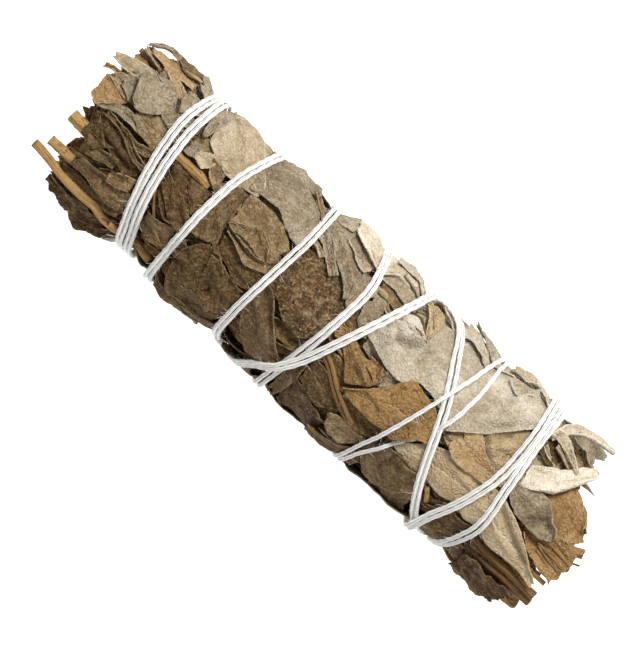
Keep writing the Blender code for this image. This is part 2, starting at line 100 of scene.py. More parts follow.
def string_gap(x, angle):
    """Distance in mm, over the unrolled surface, to the nearest run of string."""
    x, angle = np.broadcast_arrays(np.asarray(x, float), np.asarray(angle, float))
    near = np.empty(x.size)
    flat_x, flat_angle = x.ravel(), angle.ravel()
    for first in range(0, x.size, 20000):
        part = slice(first, first + 20000)
        across = np.radians(turned(flat_angle[part, None], ROUTE_ANGLES)) * ARC_RADIUS
        near[part] = (across**2 + (flat_x[part, None] - ROUTE_X) ** 2).min(1)
    return np.sqrt(near).reshape(x.shape)


def bundle_radius(x, angle, depth=0.8, width=2.2, near=None):
    """Distance of the leafy surface from the axis: a circle with two long sine swells, never lower
    than a plane beneath, less one shallow dent low on the left and a bell-shaped groove round the
    nearest run of string."""
    turn = np.radians(angle)
    swell = 0.28 * np.sin(x / 2.9 + 2.0 * turn) + 0.22 * np.sin(4.0 * turn - x / 3.7 + 1.0)
    notch = np.exp(-(((x + 30.5) / 4.5) ** 2) - (turned(angle, -88.0) / 34.0) ** 2)
    radius = BUNDLE_RADIUS + swell - 1.7 * notch
    below = turned(angle, 180.0)
    plane = FLAT_DISTANCE / np.cos(np.radians(np.clip(below, -60.0, 60.0)))
    radius = np.where(np.abs(below) < 45.0, np.minimum(radius, plane), radius)
    near = string_gap(x, angle) if near is None else near
    return radius - depth * np.exp(-((near / width) ** 2))


def on_stick(x, angle, radius):
    """Points in metres at x along the stick, angle from straight up towards +Y, and radius."""
    turn = np.radians(angle)
    flat = np.broadcast_arrays(x + 0.0 * turn, radius * np.sin(turn), radius * np.cos(turn))
    return (np.stack(flat, axis=-1) + AXIS) * 0.001


LEAF_RADIUS = 15.0
SEEN_STEP = 0.16
SEEN_MIDDLE = 3.6


def seen(points, radius=LEAF_RADIUS):
    """Spots read off the stick from straight above, in steps of 0.16 mm from its middle, as x and
    distance round the stick in mm: x = 0.16 u, and the angle's sine is the spot's y over the radius."""
    u, v = np.array(points, float).T
    y = SEEN_STEP * (v - SEEN_MIDDLE)
    angle = np.arcsin(np.clip(y / radius, -0.99, 0.99))
    return np.stack([SEEN_STEP * u, ARC_RADIUS * angle], axis=-1)


# Leaf blades. Each is a dried white sage leaf: a thick felted blade with a finely scalloped edge, a
# sunken net of veins and a stout midrib, crumpled as it dried and pressed flat by the string.
PRESS = 0.75
PUCKER = 0.05
STALK_DIP = 0.3
CURL_RADIUS = 0.55


def cell_value(i, j, seed):
    """A repeatable value from 0 to 1 for each whole-number cell."""
    value = np.sin(i * 127.1 + j * 311.7 + seed * 74.7) * 43758.5453
    return value - np.floor(value)


def lumps(x, y, seed):
    """Smooth random lumps from 0 to 1: cell values blended by a cubic step between cell corners."""
    i, j = np.floor(x), np.floor(y)
    fx, fy = x - i, y - j
    fx, fy = fx * fx * (3.0 - 2.0 * fx), fy * fy * (3.0 - 2.0 * fy)
    low = cell_value(i, j, seed) * (1.0 - fx) + cell_value(i + 1.0, j, seed) * fx
    high = cell_value(i, j + 1.0, seed) * (1.0 - fx) + cell_value(i + 1.0, j + 1.0, seed) * fx
    return low * (1.0 - fy) + high * fy


def creases(x, y, seed):
    """Sharp ridges between soft hollows, about -1 to 1: two sizes of lumps folded at their middle."""
    large = 1.0 - np.abs(2.0 * lumps(x, y, seed) - 1.0)
    small = 1.0 - np.abs(2.0 * lumps(2.3 * x + 7.1, 2.3 * y, seed + 3.0) - 1.0)
    return 1.4 * large**2 + 0.6 * small**2 - 0.9


def spaced(points, count):
    """A line through points at even steps of length, its corners rounded by averaging."""
    points = np.asarray(points, float)
    steps = np.linalg.norm(np.diff(points, axis=0), axis=1)
    length = np.concatenate([[0.0], np.cumsum(steps)])
    at = np.linspace(0.0, length[-1], count)
    line = np.stack([np.interp(at, length, points[:, 0]), np.interp(at, length, points[:, 1])], axis=-1)
    for _ in range(max(1, count // 40)):
        line[1:-1] = 0.25 * line[:-2] + 0.5 * line[1:-1] + 0.25 * line[2:]
    return line


def blade(upper, lower, depth=0.0, seed=1.0, rise=(0.4, 0.4), roll=(0.0, 0.0), crumple=0.3, size=4.5,
          sharp=0.25, crinkle=0.03, tip=0.3, folds=(), ragged=0.2, shade=0.5, step=0.27, frill=0.06,
          stretch=1.0, ceiling=None):
    """A leaf blade over the bundle, as a grid from stalk to tip (s) and side to side (t = -1 to 1).

    A point lies between the two edge lines at its s, in the unrolled surface. Its height over the
    bundle adds an edge lift that grows as |t|^2.4, lumps blended with sharp creases, a tip lift as s^4,
    a dip at the stalk as (1 - s)^4, a sunken midrib, and swells between the side veins. Each fold is a
    bell across a line; one of negative width raises one side of its line only. The sides and both ends
    are torn by two sizes of lumps, and the sides frilled by a wave that grows towards the edge. A
    rolled edge bends the outer part of the half width round a circle: sin for the way it still goes
    outwards and 1 - cos for its rise. Under a ceiling the height h over it becomes the smooth minimum
    -log(1 + e^(-4h)) / 4."""
    lines = [np.diff(np.asarray(line, float), axis=0) for line in (upper, lower)]
    length = 0.5 * sum(np.linalg.norm(line, axis=1).sum() for line in lines)
    widest = np.linalg.norm(spaced(upper, 9) - spaced(lower, 9), axis=1).max()
    rows = int(np.clip(length / step, 10, 120))
    columns = int(np.clip(widest / step, 8, 90))
    s, t = np.linspace(0.0, 1.0, rows + 1)[:, None], np.linspace(-1.0, 1.0, columns + 1)[None, :]
    high, low = spaced(upper, rows + 1), spaced(lower, rows + 1)
    middle, half = 0.5 * (high + low), 0.5 * (high - low)
    width = np.linalg.norm(half, axis=1)[:, None] + 1e-6
    outward = half / width
    along = s * length
    edge = np.sign(t)
    torn = lumps(along * 0.4, seed + edge * 5.0, seed)
    torn = torn + 0.4 * lumps(along * 1.3, seed + edge * 3.0, seed + 2.0) - 0.7
    scallop = 0.05 * np.abs(np.sin(along * 2.6 + seed)) + ragged * torn
    reach = np.abs(t) * width + np.maximum(scallop, -0.6 * width) * np.abs(t) ** 3
    way_out = np.abs(t) ** 2.2
    wave = np.sin(along * 1.5 + seed + edge * 1.3 + 3.0 * lumps(along * 0.4, 0.0 * along, seed + edge))
    height = np.zeros_like(reach)
    for side, turns, lift in ((1.0, roll[0], rise[0]), (-1.0, roll[1], rise[1])):
        of_side = np.where(t * side > 0.0, 1.0, 0.0)
        sway = 0.55 + 0.9 * lumps(s * length / 5.0 + 3.0 * side, 0.0 * s, seed + side)
        height = height + of_side * lift * np.abs(t) ** 2.4 * sway
        if turns > 0.0:
            fade = np.sin(np.pi * np.clip(s, 0.02, 0.98)) ** 0.4
            bend = turns * (0.5 + 0.7 * lumps(s * 2.5, 0.0 * s, seed + 9.0)) * fade
            phi = np.clip((CURL_RADIUS * bend - (1.0 - np.abs(t)) * width) / CURL_RADIUS, 0.0, bend)
            reach = reach - of_side * CURL_RADIUS * (phi - np.sin(phi))
            height = height + of_side * CURL_RADIUS * (1.0 - np.cos(phi))
    flat = middle[:, None, :] + (edge * reach)[..., None] * outward[:, None, :]
    ahead = np.gradient(middle, axis=0)
    ahead = ahead / (np.linalg.norm(ahead, axis=1, keepdims=True) + 1e-9)
    for share, way in ((s, 1.0), (1.0 - s, -1.0)):
        uneven = lumps(t * widest * 0.35 + seed, way + 0.0 * t, seed)
        uneven = uneven + 0.5 * lumps(t * widest * 1.1, way + 0.0 * t, seed) - 0.75
        flat = flat + (way * 2.2 * ragged * uneven * share**10)[..., None] * ahead[:, None, :]
    x, angle = flat[..., 0], np.degrees(flat[..., 1] / ARC_RADIUS)
    lengthwise, sideways = flat[..., 0] / (size * stretch), flat[..., 1] * stretch / size
    crumpled = creases(lengthwise + 0.3 * sideways + seed, sideways, seed)
    smooth = 2.0 * lumps(1.3 * lengthwise + seed, 1.3 * sideways, seed + 8.0) - 1.0
    small = creases(lengthwise * 2.6 + seed, (sideways - 0.4 * lengthwise) * 2.6, seed + 6.0)
    wrinkled = sharp * crumpled + (1.0 - sharp) * smooth
    height = height + crumple * wrinkled + crinkle * small + frill * wave * way_out
    quilt = (along - 0.85 * np.abs(t) * width) / 2.6
    swollen = 1.0 - np.abs(2.0 * (quilt - np.floor(quilt)) - 1.0) ** 3
    height = height + PUCKER * (swollen + 2.0 * lumps(flat[..., 0] * 1.25, flat[..., 1] * 1.25, seed) - 1.5)
    height = height + tip * s**4 - STALK_DIP * (1.0 - s) ** 4
    height = height - 0.12 * np.exp(-((np.abs(t) * width / 0.35) ** 2))
    for u0, v0, u1, v1, lift, spread in folds:
        start, end = seen(((u0, v0), (u1, v1)), LEAF_RADIUS - depth)
        way = end - start
        far = np.linalg.norm(way)
        way = way / far
        gap = flat - start
        run = gap @ way
        off = gap @ np.array([-way[1], way[0]])
        past = np.maximum(np.maximum(-run, run - far), 0.0)
        bell = np.exp(-(off**2 + past**2) / spread**2)
        if spread < 0.0:
            bell = bell / (1.0 + np.exp(-np.clip(off / 0.09, -30.0, 30.0)))
        height = height + 1.4 * lift * bell
    near = string_gap(x, angle)
    height = height * (1.0 - 0.8 * np.exp(-((near / 1.2) ** 2)))
    surface = bundle_radius(x, angle, PRESS, near=near)
    radius = surface - depth + height
    if ceiling is not None:
        under = surface - ceiling - radius
        radius = surface - ceiling - 0.25 * np.logaddexp(0.0, under / 0.25)
    place = np.stack(np.broadcast_arrays(along, t * width, width), axis=-1)
    cover = np.stack(np.broadcast_arrays(s, 0.5 + 0.5 * t), axis=-1)
    # The crumple height, kept as the fold attribute: the leaf finishes paint shade into its low places and
    # highlights onto its high ones.
    fold = np.clip(0.5 + 0.4 * wrinkled + 0.2 * small, 0.0, 1.0)
    points = on_stick(x, angle, radius)
    return {"points": points, "place": place, "cover": cover, "shade": shade, "fold": fold}


def outline(stalk, tip, width, bend=0.0):
    """Both edges of a plain sage leaf from stalk to tip, on the unrolled surface: a sine of the share
    s^0.85 raised to 0.7 gives the half width, and a second sine bends the midrib sideways."""
    start, end = np.array(stalk, float), np.array(tip, float)
    way = (end - start) / np.linalg.norm(end - start)
    out = np.array([-way[1], way[0]])
    s = np.linspace(0.0, 1.0, 13)[:, None]
    half = 0.5 * width * (0.1 + 0.9 * np.sin(np.pi * s**0.85) ** 0.7)
    line = start + s * (end - start) + bend * np.sin(np.pi * s) * out
    return line + half * out, line - half * out


# The points and faces of every piece made so far, for the string to bear on.
SHEETS = []


def make_piece(name, sheets, finish, nodes, thickness=0.22):
    """One mesh from point grids: quads between neighbouring points, a closed ring where a grid wraps,
    with the leaf's own coordinates kept as attributes, then its thickness in mm, if any, inwards."""
    points, faces, cover, place, shade, fold = [], [], [], [], [], []
    first = 0
    for sheet in sheets:
        rows, columns = sheet["points"].shape[:2]
        wrap = sheet.get("wrap", False)
        across = columns if wrap else columns - 1
        i, j = np.meshgrid(np.arange(rows - 1), np.arange(across), indexing="ij")
        i, j = i.ravel(), j.ravel()
        corners = ((i, j), (i + 1, j), (i + 1, j + 1), (i, j + 1))
        faces.append(np.stack([first + a * columns + b % columns for a, b in corners], axis=-1))
        across_share = sheet["cover"]
        if wrap:
            across_share = np.concatenate([across_share, across_share[:, :1] + (0.0, 1.0)], axis=1)
        cover.append(np.stack([across_share[a, b] for a, b in corners], axis=1).reshape(-1, 2))
        points.append(sheet["points"].reshape(-1, 3))
        place.append(sheet["place"].reshape(-1, 3))
        shade.append(np.full(rows * columns, float(sheet["shade"])))
        fold.append(np.broadcast_to(sheet.get("fold", 0.5), (rows, columns)).ravel())
        first += rows * columns
    points, faces = np.concatenate(points), np.concatenate(faces)
    mesh = bpy.data.meshes.new(name)
    mesh.vertices.add(len(points))
    mesh.vertices.foreach_set("co", points.astype(np.float32).ravel())
    mesh.loops.add(faces.size)
    mesh.loops.foreach_set("vertex_index", faces.astype(np.int32).ravel())
    mesh.polygons.add(len(faces))
    mesh.polygons.foreach_set("loop_start", np.arange(0, faces.size, 4, dtype=np.int32))
    mesh.update(calc_edges=True)
    mesh.uv_layers.new(name="cover").data.foreach_set("uv", np.concatenate(cover).astype(np.float32).ravel())
    kept = mesh.attributes.new("place", "FLOAT_VECTOR", "POINT")
    kept.data.foreach_set("vector", np.concatenate(place).astype(np.float32).ravel())
    for key, values in (("shade", shade), ("fold", fold)):
        kept = mesh.attributes.new(key, "FLOAT", "POINT")
        kept.data.foreach_set("value", np.concatenate(values).astype(np.float32))
    mesh.polygons.foreach_set("use_smooth", np.ones(len(faces), bool))
    mesh.materials.append(finish)
    piece = bpy.data.objects.new(name, mesh)
    bpy.context.scene.collection.objects.link(piece)
    if thickness:
        wall = piece.modifiers.new("blade", "SOLIDIFY")
        wall.thickness = thickness * 0.001
        wall.offset = -1.0
    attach(piece, "root")
    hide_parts(*nodes)
    SHEETS.append((points, faces))


class Wire:
    """A shader value. Arithmetic on it adds the Math node that works it out."""

    def __init__(self, tree, socket):
        self.tree = tree
        self.socket = socket

    def math(self, operation, *others):
        values = dict(enumerate((self, *others)))
        return add_node(self.tree, "ShaderNodeMath", {"operation": operation}, values)

    def __add__(self, other):
        return self.math("ADD", other)

    def __mul__(self, other):
        return self.math("MULTIPLY", other)

    def __sub__(self, other):
        return self.math("SUBTRACT", other)

    def __rsub__(self, other):
        return self.math("MULTIPLY_ADD", -1.0, other)

    def __truediv__(self, other):
        return self.math("DIVIDE", other)

    __radd__ = __add__
    __rmul__ = __mul__

    def between(self, low, high):
        """0 below low, 1 above high, and a smooth step from one to the other."""
        values = {"Value": self, "From Min": low, "From Max": high}
        return add_node(self.tree, "ShaderNodeMapRange", {"interpolation_type": "SMOOTHSTEP"}, values)


def feed(tree, socket, value):
    """Link a shader value to a socket, or set the socket to a number or colour."""
    if isinstance(value, Wire):
        tree.links.new(value.socket, socket)
    else:
        socket.default_value = value


def add_node(tree, kind, settings, sockets, out=0):
    """A new node: its settings, then what its sockets are fed, and one of its outputs."""
    made = tree.nodes.new(kind)
    for key, value in settings.items():
        setattr(made, key, value)
    for key, value in sockets.items():
        feed(tree, made.inputs[key], value)
    return Wire(tree, made.outputs[out])


class Finish:
    """A material and its nodes."""

    def __init__(self, name, sheen=0.0):
        self.material = bpy.data.materials.new(name)
        self.material.use_nodes = True
        self.tree = self.material.node_tree
        self.skin = self.tree.nodes["Principled BSDF"]
        self.skin.inputs["Specular IOR Level"].default_value = 0.18
        self.skin.inputs["Sheen Weight"].default_value = sheen
        self.skin.inputs["Sheen Roughness"].default_value = 0.5

    def node(self, kind, settings, sockets, out=0):
        return add_node(self.tree, kind, settings, sockets, out)

    def object_place(self):
        return self.node("ShaderNodeTexCoord", {}, {}, "Object")

    def kept(self, name, out="Vector"):
        return self.node("ShaderNodeAttribute", {"attribute_name": name}, {}, out)

    def parts(self, where):
        """The three numbers of a place."""
        split = self.tree.nodes.new("ShaderNodeSeparateXYZ")
        feed(self.tree, split.inputs[0], where)
        return [Wire(self.tree, socket) for socket in split.outputs]

    def noise(self, where, scale, detail, rough):
        values = {"Vector": where, "Scale": scale, "Detail": detail, "Roughness": rough}
        return self.node("ShaderNodeTexNoise", {}, values)

    def edges(self, where, scale):
        """Distance to the edge between random cells: a roof of flat facets over each cell."""
        values = {"Vector": where, "Scale": scale}
        return self.node("ShaderNodeTexVoronoi", {"feature": "DISTANCE_TO_EDGE"}, values)

    def swirled(self, where, scale, reach_mm):
        """A place moved about by slow noise."""
        slow = self.node("ShaderNodeTexNoise", {}, {"Vector": where, "Scale": scale, "Detail": 2.0}, 1)
        reach = (reach_mm * 0.001,) * 3
        return self.node("ShaderNodeVectorMath", {"operation": "MULTIPLY_ADD"}, {0: slow, 1: reach, 2: where})

    def stretched(self, where, scale):
        return self.node("ShaderNodeVectorMath", {"operation": "MULTIPLY"}, {0: where, 1: scale})

    def blend(self, share, first, second):
        return self.node("ShaderNodeMix", {"data_type": "RGBA"}, {0: share, 6: first, 7: second}, 2)

    def wear(self, colour, roughness, height, depth_mm):
        relief = {"Height": height, "Strength": 1.0, "Distance": depth_mm * 0.001}
        bump = self.node("ShaderNodeBump", {}, relief)
        for key, value in (("Base Color", colour), ("Normal", bump), ("Roughness", roughness)):
            feed(self.tree, self.skin.inputs[key], value)
        return self.material


def tone(red, green, blue):
    """A surface colour from how it looks on a screen, 0 to 255, under this scene's light."""
    share = np.array([red, green, blue]) / 255.0
    linear = np.where(share <= 0.04045, share / 12.92, ((share + 0.055) / 1.055) ** 2.4)
    return (*(0.8 * linear).tolist(), 1.0)


def leaf_finish(name, body, deep, light, rib, patch=None, specks=0.0, net=0.35, veins=0.5, felt=0.5,
                sheen=0.0, hollows=0.5, rough=0.5, creased=0.5):
    """A dried leaf: large soft patches between body and deep, a fine darker net, paler side veins that leave
    the midrib at a slant, a coloured midrib and, on some, brown specks. Painted light lies over these:
    painted shade along thin wandering creases and crinkles and in the hollows where it is crumpled, and
    painted highlights on the crumpled ridges, on the facet tops and along the edge."""
    made = Finish(name, sheen)
    place = made.kept("place")
    spot = made.object_place()
    fold = made.kept("fold", "Fac")
    along, across, half = made.parts(place)
    off_rib = across.math("ABSOLUTE")
    warp = made.noise(spot, 260.0, 2.0, 0.6)
    large = made.noise(spot, 130.0, 4.0, 0.65)
    colour = made.blend(large.between(0.4, 0.7) * 0.55, body, deep)
    if patch is not None:
        blotch = made.noise(spot, 230.0, 4.0, 0.7).between(0.5, 0.68)
        colour = made.blend(blotch * 0.6, colour, patch)
    bent = made.swirled(spot, 420.0, 1.6)
    facets = made.edges(bent, 330.0)
    chips = made.edges(bent, 900.0)
    cells = made.edges(spot, 1500.0)
    fine = made.noise(spot, 2000.0, 2.0, 0.7)
    medium = made.noise(spot, 800.0, 4.0, 0.7)
    crease = (1.0 - facets.between(0.0, 0.05)) * warp.between(0.3, 0.55)
    crinkle = (1.0 - chips.between(0.0, 0.09)) * medium.between(0.4, 0.6)
    mesh_line = (1.0 - cells.between(0.0, 0.2)) * medium.between(0.3, 0.55)
    colour = made.blend(mesh_line * net, colour, deep)
    colour = made.blend(fine.between(0.5, 0.7) * felt, colour, light)
    colour = made.blend(fine.between(0.5, 0.32) * felt, colour, deep)
    colour = made.blend(medium.between(0.54, 0.7) * rough * 0.8, colour, deep)
    slant = (along - off_rib * 0.85 + warp * 1.2) / 2.6
    saw = slant.math("FRACT").math("SUBTRACT", 0.5).math("ABSOLUTE")
    vein = (1.0 - saw.between(0.0, 0.05)) * warp.between(0.35, 0.65)
    colour = made.blend(vein * veins, colour, light)
    midrib = 1.0 - (off_rib + warp * 0.25).between(0.16, 0.42)
    colour = made.blend(midrib * medium.between(0.3, 0.6) * 0.7, colour, rib)
    # Painted shade: the thin crease and crinkle lines, where the bump sinks, are darkened towards deep.
    colour = made.blend(crease * creased, colour, deep)
    colour = made.blend(crinkle * creased * 0.7, colour, deep)
    # Painted highlight: the raised middles of the facets are paled towards light.
    colour = made.blend(facets.between(0.22, 0.4) * creased * 0.5, colour, light)
    # Painted shade and highlight from the kept crumple height: low places darkened towards deep, high places
    # paled towards light.
    uneven = fold + (medium - 0.5) * 0.4
    colour = made.blend(uneven.between(0.5, 0.16) * hollows, colour, deep)
    colour = made.blend(uneven.between(0.62, 0.95) * 0.5, colour, light)
    # Painted highlight: a thin pale band along the leaf's edge.
    edge_highlight = (off_rib / half + (fine - 0.5) * 0.16).between(0.94, 1.0) * warp.between(0.36, 0.6)
    colour = made.blend(edge_highlight * 0.6, colour, light)
    if specks:
        dots = made.noise(spot, 900.0, 2.0, 0.5).between(0.62, 0.68) * specks
        colour = made.blend(dots, colour, deep)
    height = cells.between(0.0, 0.35) * 0.5 + fine * 0.8 + medium * (0.4 + 0.8 * rough)
    height = height + vein * -0.3 + midrib * -0.3 + facets * (3.4 * creased) + chips * (1.3 * creased)
    return made.wear(colour, 0.85, height, 0.3)


# The felted cream and grey leaves that lie outermost: young leaves near the top of each sprig, still
# covered in white down, so they dry pale. The string holds them by their middles and edges curl free.
PALE = leaf_finish("cream_leaf", tone(210, 198, 174), tone(143, 121, 88), tone(231, 224, 209),
                   tone(197, 176, 143), net=0.3, veins=0.25, felt=0.4, sheen=0.1, rough=0.1, hollows=0.4,
                   creased=0.3)
CREAM = leaf_finish("bright_cream_leaf", tone(236, 224, 200), tone(168, 144, 108), tone(250, 244, 230),
                    tone(214, 190, 156), net=0.25, veins=0.25, felt=0.4, sheen=0.1, rough=0.1, hollows=0.3,
                    creased=0.25)
PALE_WARM = leaf_finish("warm_cream_leaf", tone(202, 184, 153), tone(147, 122, 85), tone(229, 218, 194),
                        tone(192, 155, 109), net=0.35, veins=0.25, felt=0.45, sheen=0.1, rough=0.2,
                        creased=0.4)
GREY = leaf_finish("grey_leaf", tone(192, 177, 149), tone(125, 103, 73), tone(203, 191, 167),
                   tone(192, 149, 99), net=0.5, veins=0.35, felt=0.6, sheen=0.1, rough=0.25, creased=0.45)
GREY_DULL = leaf_finish("dull_grey_leaf", tone(177, 160, 132), tone(110, 89, 61), tone(192, 179, 153),
                        tone(186, 153, 108), net=0.55, veins=0.35, felt=0.65, sheen=0.1, rough=0.35,
                        creased=0.5)
GREY_GREEN = leaf_finish("grey_green_leaf", tone(182, 164, 134), tone(99, 80, 53), tone(186, 173, 146),
                         tone(175, 152, 116), net=0.45, veins=0.3, felt=0.5, sheen=0.1, rough=0.3,
                         creased=0.4)
PALE_LEAVES = (
    ("cream_side_leaf", PALE, "cream_leaf",
     ((178, 102), (160, 98), (146, 78), (141, 48), (147, 18), (157, 3)),
     ((232, 96), (230, 78), (226, 66), (210, 47), (193, 28), (176, 14), (159, 1)),
     dict(depth=-0.25, rise=(0.0, 0.5), crumple=0.3, size=7.0, seed=4.0, tip=0.4,
          folds=((181, 84, 199, 86, 0.7, -1.4), (199, 86, 190, 73, 0.6, -1.0), (184, 58, 197, 54, 0.5, -0.8),
                 (186, 40, 212, 66, 0.4, 0.7), (196, 40, 218, 62, -0.3, 0.4), (172, 20, 190, 44, 0.3, 0.9)))),
    ("big_pale_leaf", PALE, "cream_leaf",
     ((162, 78), (150, 84), (128, 85), (104, 84), (86, 78), (84, 56), (64, 66), (46, 62), (40, 46)),
     ((160, 8), (148, 10), (130, 18), (108, 19), (99, 9), (88, 6), (74, 7), (58, 12), (36, 20)),
     dict(depth=0.3, rise=(0.2, 0.5), crumple=0.28, size=6.5, seed=12.0, tip=0.1,
          folds=((68, 18, 59, 32, 1.1, -2.2), (59, 32, 60, 42, 1.1, -2.2), (60, 42, 84, 49, 0.9, 0.6),
                 (62, 36, 76, 42, -1.0, 0.6), (48, 47, 80, 50, 0.6, 0.45), (50, 54, 82, 52, -0.7, 0.4),
                 (85, 78, 85, 54, -0.7, 0.45), (86, 56, 112, 52, 0.35, 0.8), (92, 50, 128, 44, -0.25, 0.9)))),
    ("folded_cream_leaf", CREAM, "cream_leaf",
     ((246, 38), (258, 44), (270, 51), (280, 60), (286, 70), (296, 75), (302, 74)),
     ((248, 12), (260, 14), (272, 17), (282, 20), (290, 34), (297, 48), (304, 66)),
     dict(depth=-0.1, rise=(0.3, 1.0), roll=(0.0, 2.4), crumple=0.25, size=5.0, seed=6.0, tip=0.5,
          folds=((248, 32, 272, 36, -0.5, 0.9), (262, 24, 284, 50, 0.3, 0.8)))),
    ("cream_fold_leaf", CREAM, "cream_leaf",
     ((54, 87), (32, 92), (6, 96), (-18, 98), (-44, 95)),
     ((54, 84), (40, 83), (24, 82), (8, 73), (-12, 72), (-38, 81)),
     dict(depth=0.0, rise=(0.3, 0.8), roll=(0.0, 1.4), crumple=0.25, size=5.0, seed=3.0, tip=0.3,
          folds=((48, 84, 0, 86, -0.7, 0.5), (40, 90, -20, 92, 0.5, 0.6)))),
    ("long_cream_strip", CREAM, "cream_leaf",
     ((240, 76), (246, 88), (258, 97), (276, 102), (300, 103)),
     ((244, 70), (254, 80), (266, 89), (280, 94), (300, 96)),
     dict(depth=-0.4, rise=(0.3, 0.6), roll=(1.4, 1.6), crumple=0.1, seed=8.0, tip=0.3)),
    ("pale_scrap_leaf", PALE_WARM, "cream_leaf",
     ((-164, 50), (-172, 58), (-178, 63), (-186, 56), (-198, 46), (-210, 40)),
     ((-168, 44), (-178, 43), (-188, 47), (-189, 36), (-196, 28), (-210, 32)),
     dict(depth=-0.1, rise=(0.5, 0.5), crumple=0.25, size=3.6, seed=15.0)),
    ("cream_tip_leaf", PALE_WARM, "cream_leaf",
     ((-284, 70), (-298, 71), (-312, 67), (-326, 62), (-336, 57)),
     ((-286, 50), (-300, 50), (-312, 48), (-324, 48), (-337, 49)),
     dict(depth=0.6, rise=(0.3, 0.7), roll=(0.0, 1.2), crumple=0.15, seed=17.0, tip=0.3)),
    ("long_midrib_leaf", PALE_WARM, "grey_leaf",
     ((-214, 98), (-196, 97), (-176, 92), (-156, 82), (-142, 64), (-134, 50)),
     ((-218, 94), (-214, 74), (-208, 54), (-190, 45), (-166, 46), (-136, 45)),
     dict(depth=0.15, rise=(0.7, 0.3), crumple=0.28, size=6.0, seed=21.0, tip=0.1,
          folds=((-203, 92, -182, 79, 0.45, 0.4), (-182, 79, -164, 63, 0.45, 0.4),
                 (-164, 63, -137, 48, 0.5, 0.4),
                 (-212, 72, -190, 60, 0.3, 0.8)))),
    ("grey_folded_leaf", GREY_DULL, "grey_leaf",
     ((-70, 64), (-80, 74), (-96, 82), (-118, 89), (-136, 87), (-150, 82)),
     ((-74, 39), (-86, 37), (-96, 41), (-112, 50), (-128, 50), (-148, 48)),
     dict(depth=-0.15, rise=(0.5, 0.6), crumple=0.3, size=6.0, seed=24.0, tip=-0.3,
          folds=((-84, 70, -92, 39, 0.6, -1.6), (-79, 66, -84, 40, -0.3, 0.5),
                 (-122, 86, -124, 74, -0.4, 0.5),
                 (-140, 82, -108, 60, 0.25, 1.0)))),
    ("slanting_pale_leaf", GREY_DULL, "grey_leaf",
     ((-66, 92), (-42, 88), (-22, 77), (-8, 65), (0, 50), (0, 32)),
     ((-66, 74), (-52, 66), (-38, 54), (-24, 48), (-12, 40), (-4, 30)),
     dict(depth=-0.2, rise=(0.3, 0.7), roll=(0.0, 1.0), crumple=0.3, size=4.5, seed=27.0, tip=0.1,
          folds=((-62, 80, -36, 64, -0.8, 0.45), (-60, 76, -34, 60, 0.5, 0.4), (-36, 70, -12, 50, 0.45, 0.5),
                 (-24, 60, -8, 40, -0.6, 0.5)))),
    ("grey_end_leaf", GREY_DULL, "grey_leaf",
     ((-256, 56), (-266, 69), (-278, 72), (-292, 68), (-303, 58)),
     ((-260, 42), (-266, 36), (-277, 29), (-286, 27), (-294, 34), (-302, 50)),
     dict(depth=-0.4, rise=(0.6, 0.8), crumple=0.3, size=5.0, seed=30.0, tip=0.3,
          folds=((-303, 55, -287, 28, 0.5, 0.5), (-276, 70, -272, 44, 0.3, 0.8),
                 (-262, 52, -266, 38, 0.5, 0.5)))),
    ("grey_green_leaf", GREY_GREEN, "grey_leaf",
     ((246, 14), (258, 13), (270, 20), (282, 20), (293, 13), (300, 5), (307, 4), (311, -4)),
     ((246, 1), (254, -7), (267, -12), (284, -14), (300, -14), (310, -8)),
     dict(depth=-0.25, rise=(0.7, 0.6), crumple=0.3, size=5.0, seed=33.0, tip=0.2,
          folds=((281, -7, 294, 3, -1.0, 0.5), (284, -8, 300, 4, 0.7, -1.4), (252, 6, 276, 8, 0.4, 0.8)))),
)


def lay_leaves(leaves):
    """One blade for each leaf of a list, its edges set out over the bundle less the leaf's own depth."""
    for node, finish, slot, upper, lower, ways in leaves:
        edges = (seen(edge, LEAF_RADIUS - ways["depth"]) for edge in (upper, lower))
        make_piece(f"{node}_blade", [blade(*edges, step=0.3, **ways)], finish, [node])


lay_leaves(PALE_LEAVES)

# The tan and brown leaves: older leaves from lower on the sprigs, thinner, torn at the edges and
# freckled with brown where the sap dried. They are pressed in among the pale ones.
TAN = leaf_finish("tan_leaf", tone(171, 135, 86), tone(115, 80, 41), tone(199, 169, 123), tone(186, 151, 100),
                  tone(182, 140, 82), specks=0.85, net=0.4, veins=0.1, felt=0.45, rough=0.35, creased=0.35)
TAN_TORN = leaf_finish("torn_tan_leaf", tone(169, 133, 86), tone(103, 72, 38), tone(211, 184, 141),
                       tone(179, 144, 97),
                       tone(177, 137, 84), specks=0.4, net=0.35, veins=0.15, felt=0.5, rough=0.45,
                       creased=0.5)
TAN_PALE = leaf_finish("pale_tan_leaf", tone(204, 185, 151), tone(158, 130, 90), tone(222, 206, 174),
                       tone(228, 209, 175), tone(196, 164, 120), net=0.25, veins=0.2, felt=0.35, rough=0.15,
                       hollows=0.35, creased=0.08)
TAN_CRACKED = leaf_finish("cracked_tan_leaf", tone(200, 178, 141), tone(150, 118, 76), tone(224, 207, 175),
                          tone(206, 180, 140), specks=0.3, net=0.3, veins=0.2, felt=0.4, rough=0.25,
                          creased=0.3)
WARM = leaf_finish("warm_tan_leaf", tone(202, 172, 130), tone(150, 114, 70), tone(222, 198, 160),
                   tone(206, 176, 132), specks=0.4, net=0.3, veins=0.2, felt=0.4, rough=0.25, creased=0.12)
TAN_END = leaf_finish("orange_tan_leaf", tone(182, 146, 97), tone(129, 92, 50), tone(209, 180, 136),
                      tone(190, 150, 98), specks=0.4, net=0.35, veins=0.25, felt=0.5, rough=0.4, creased=0.5)
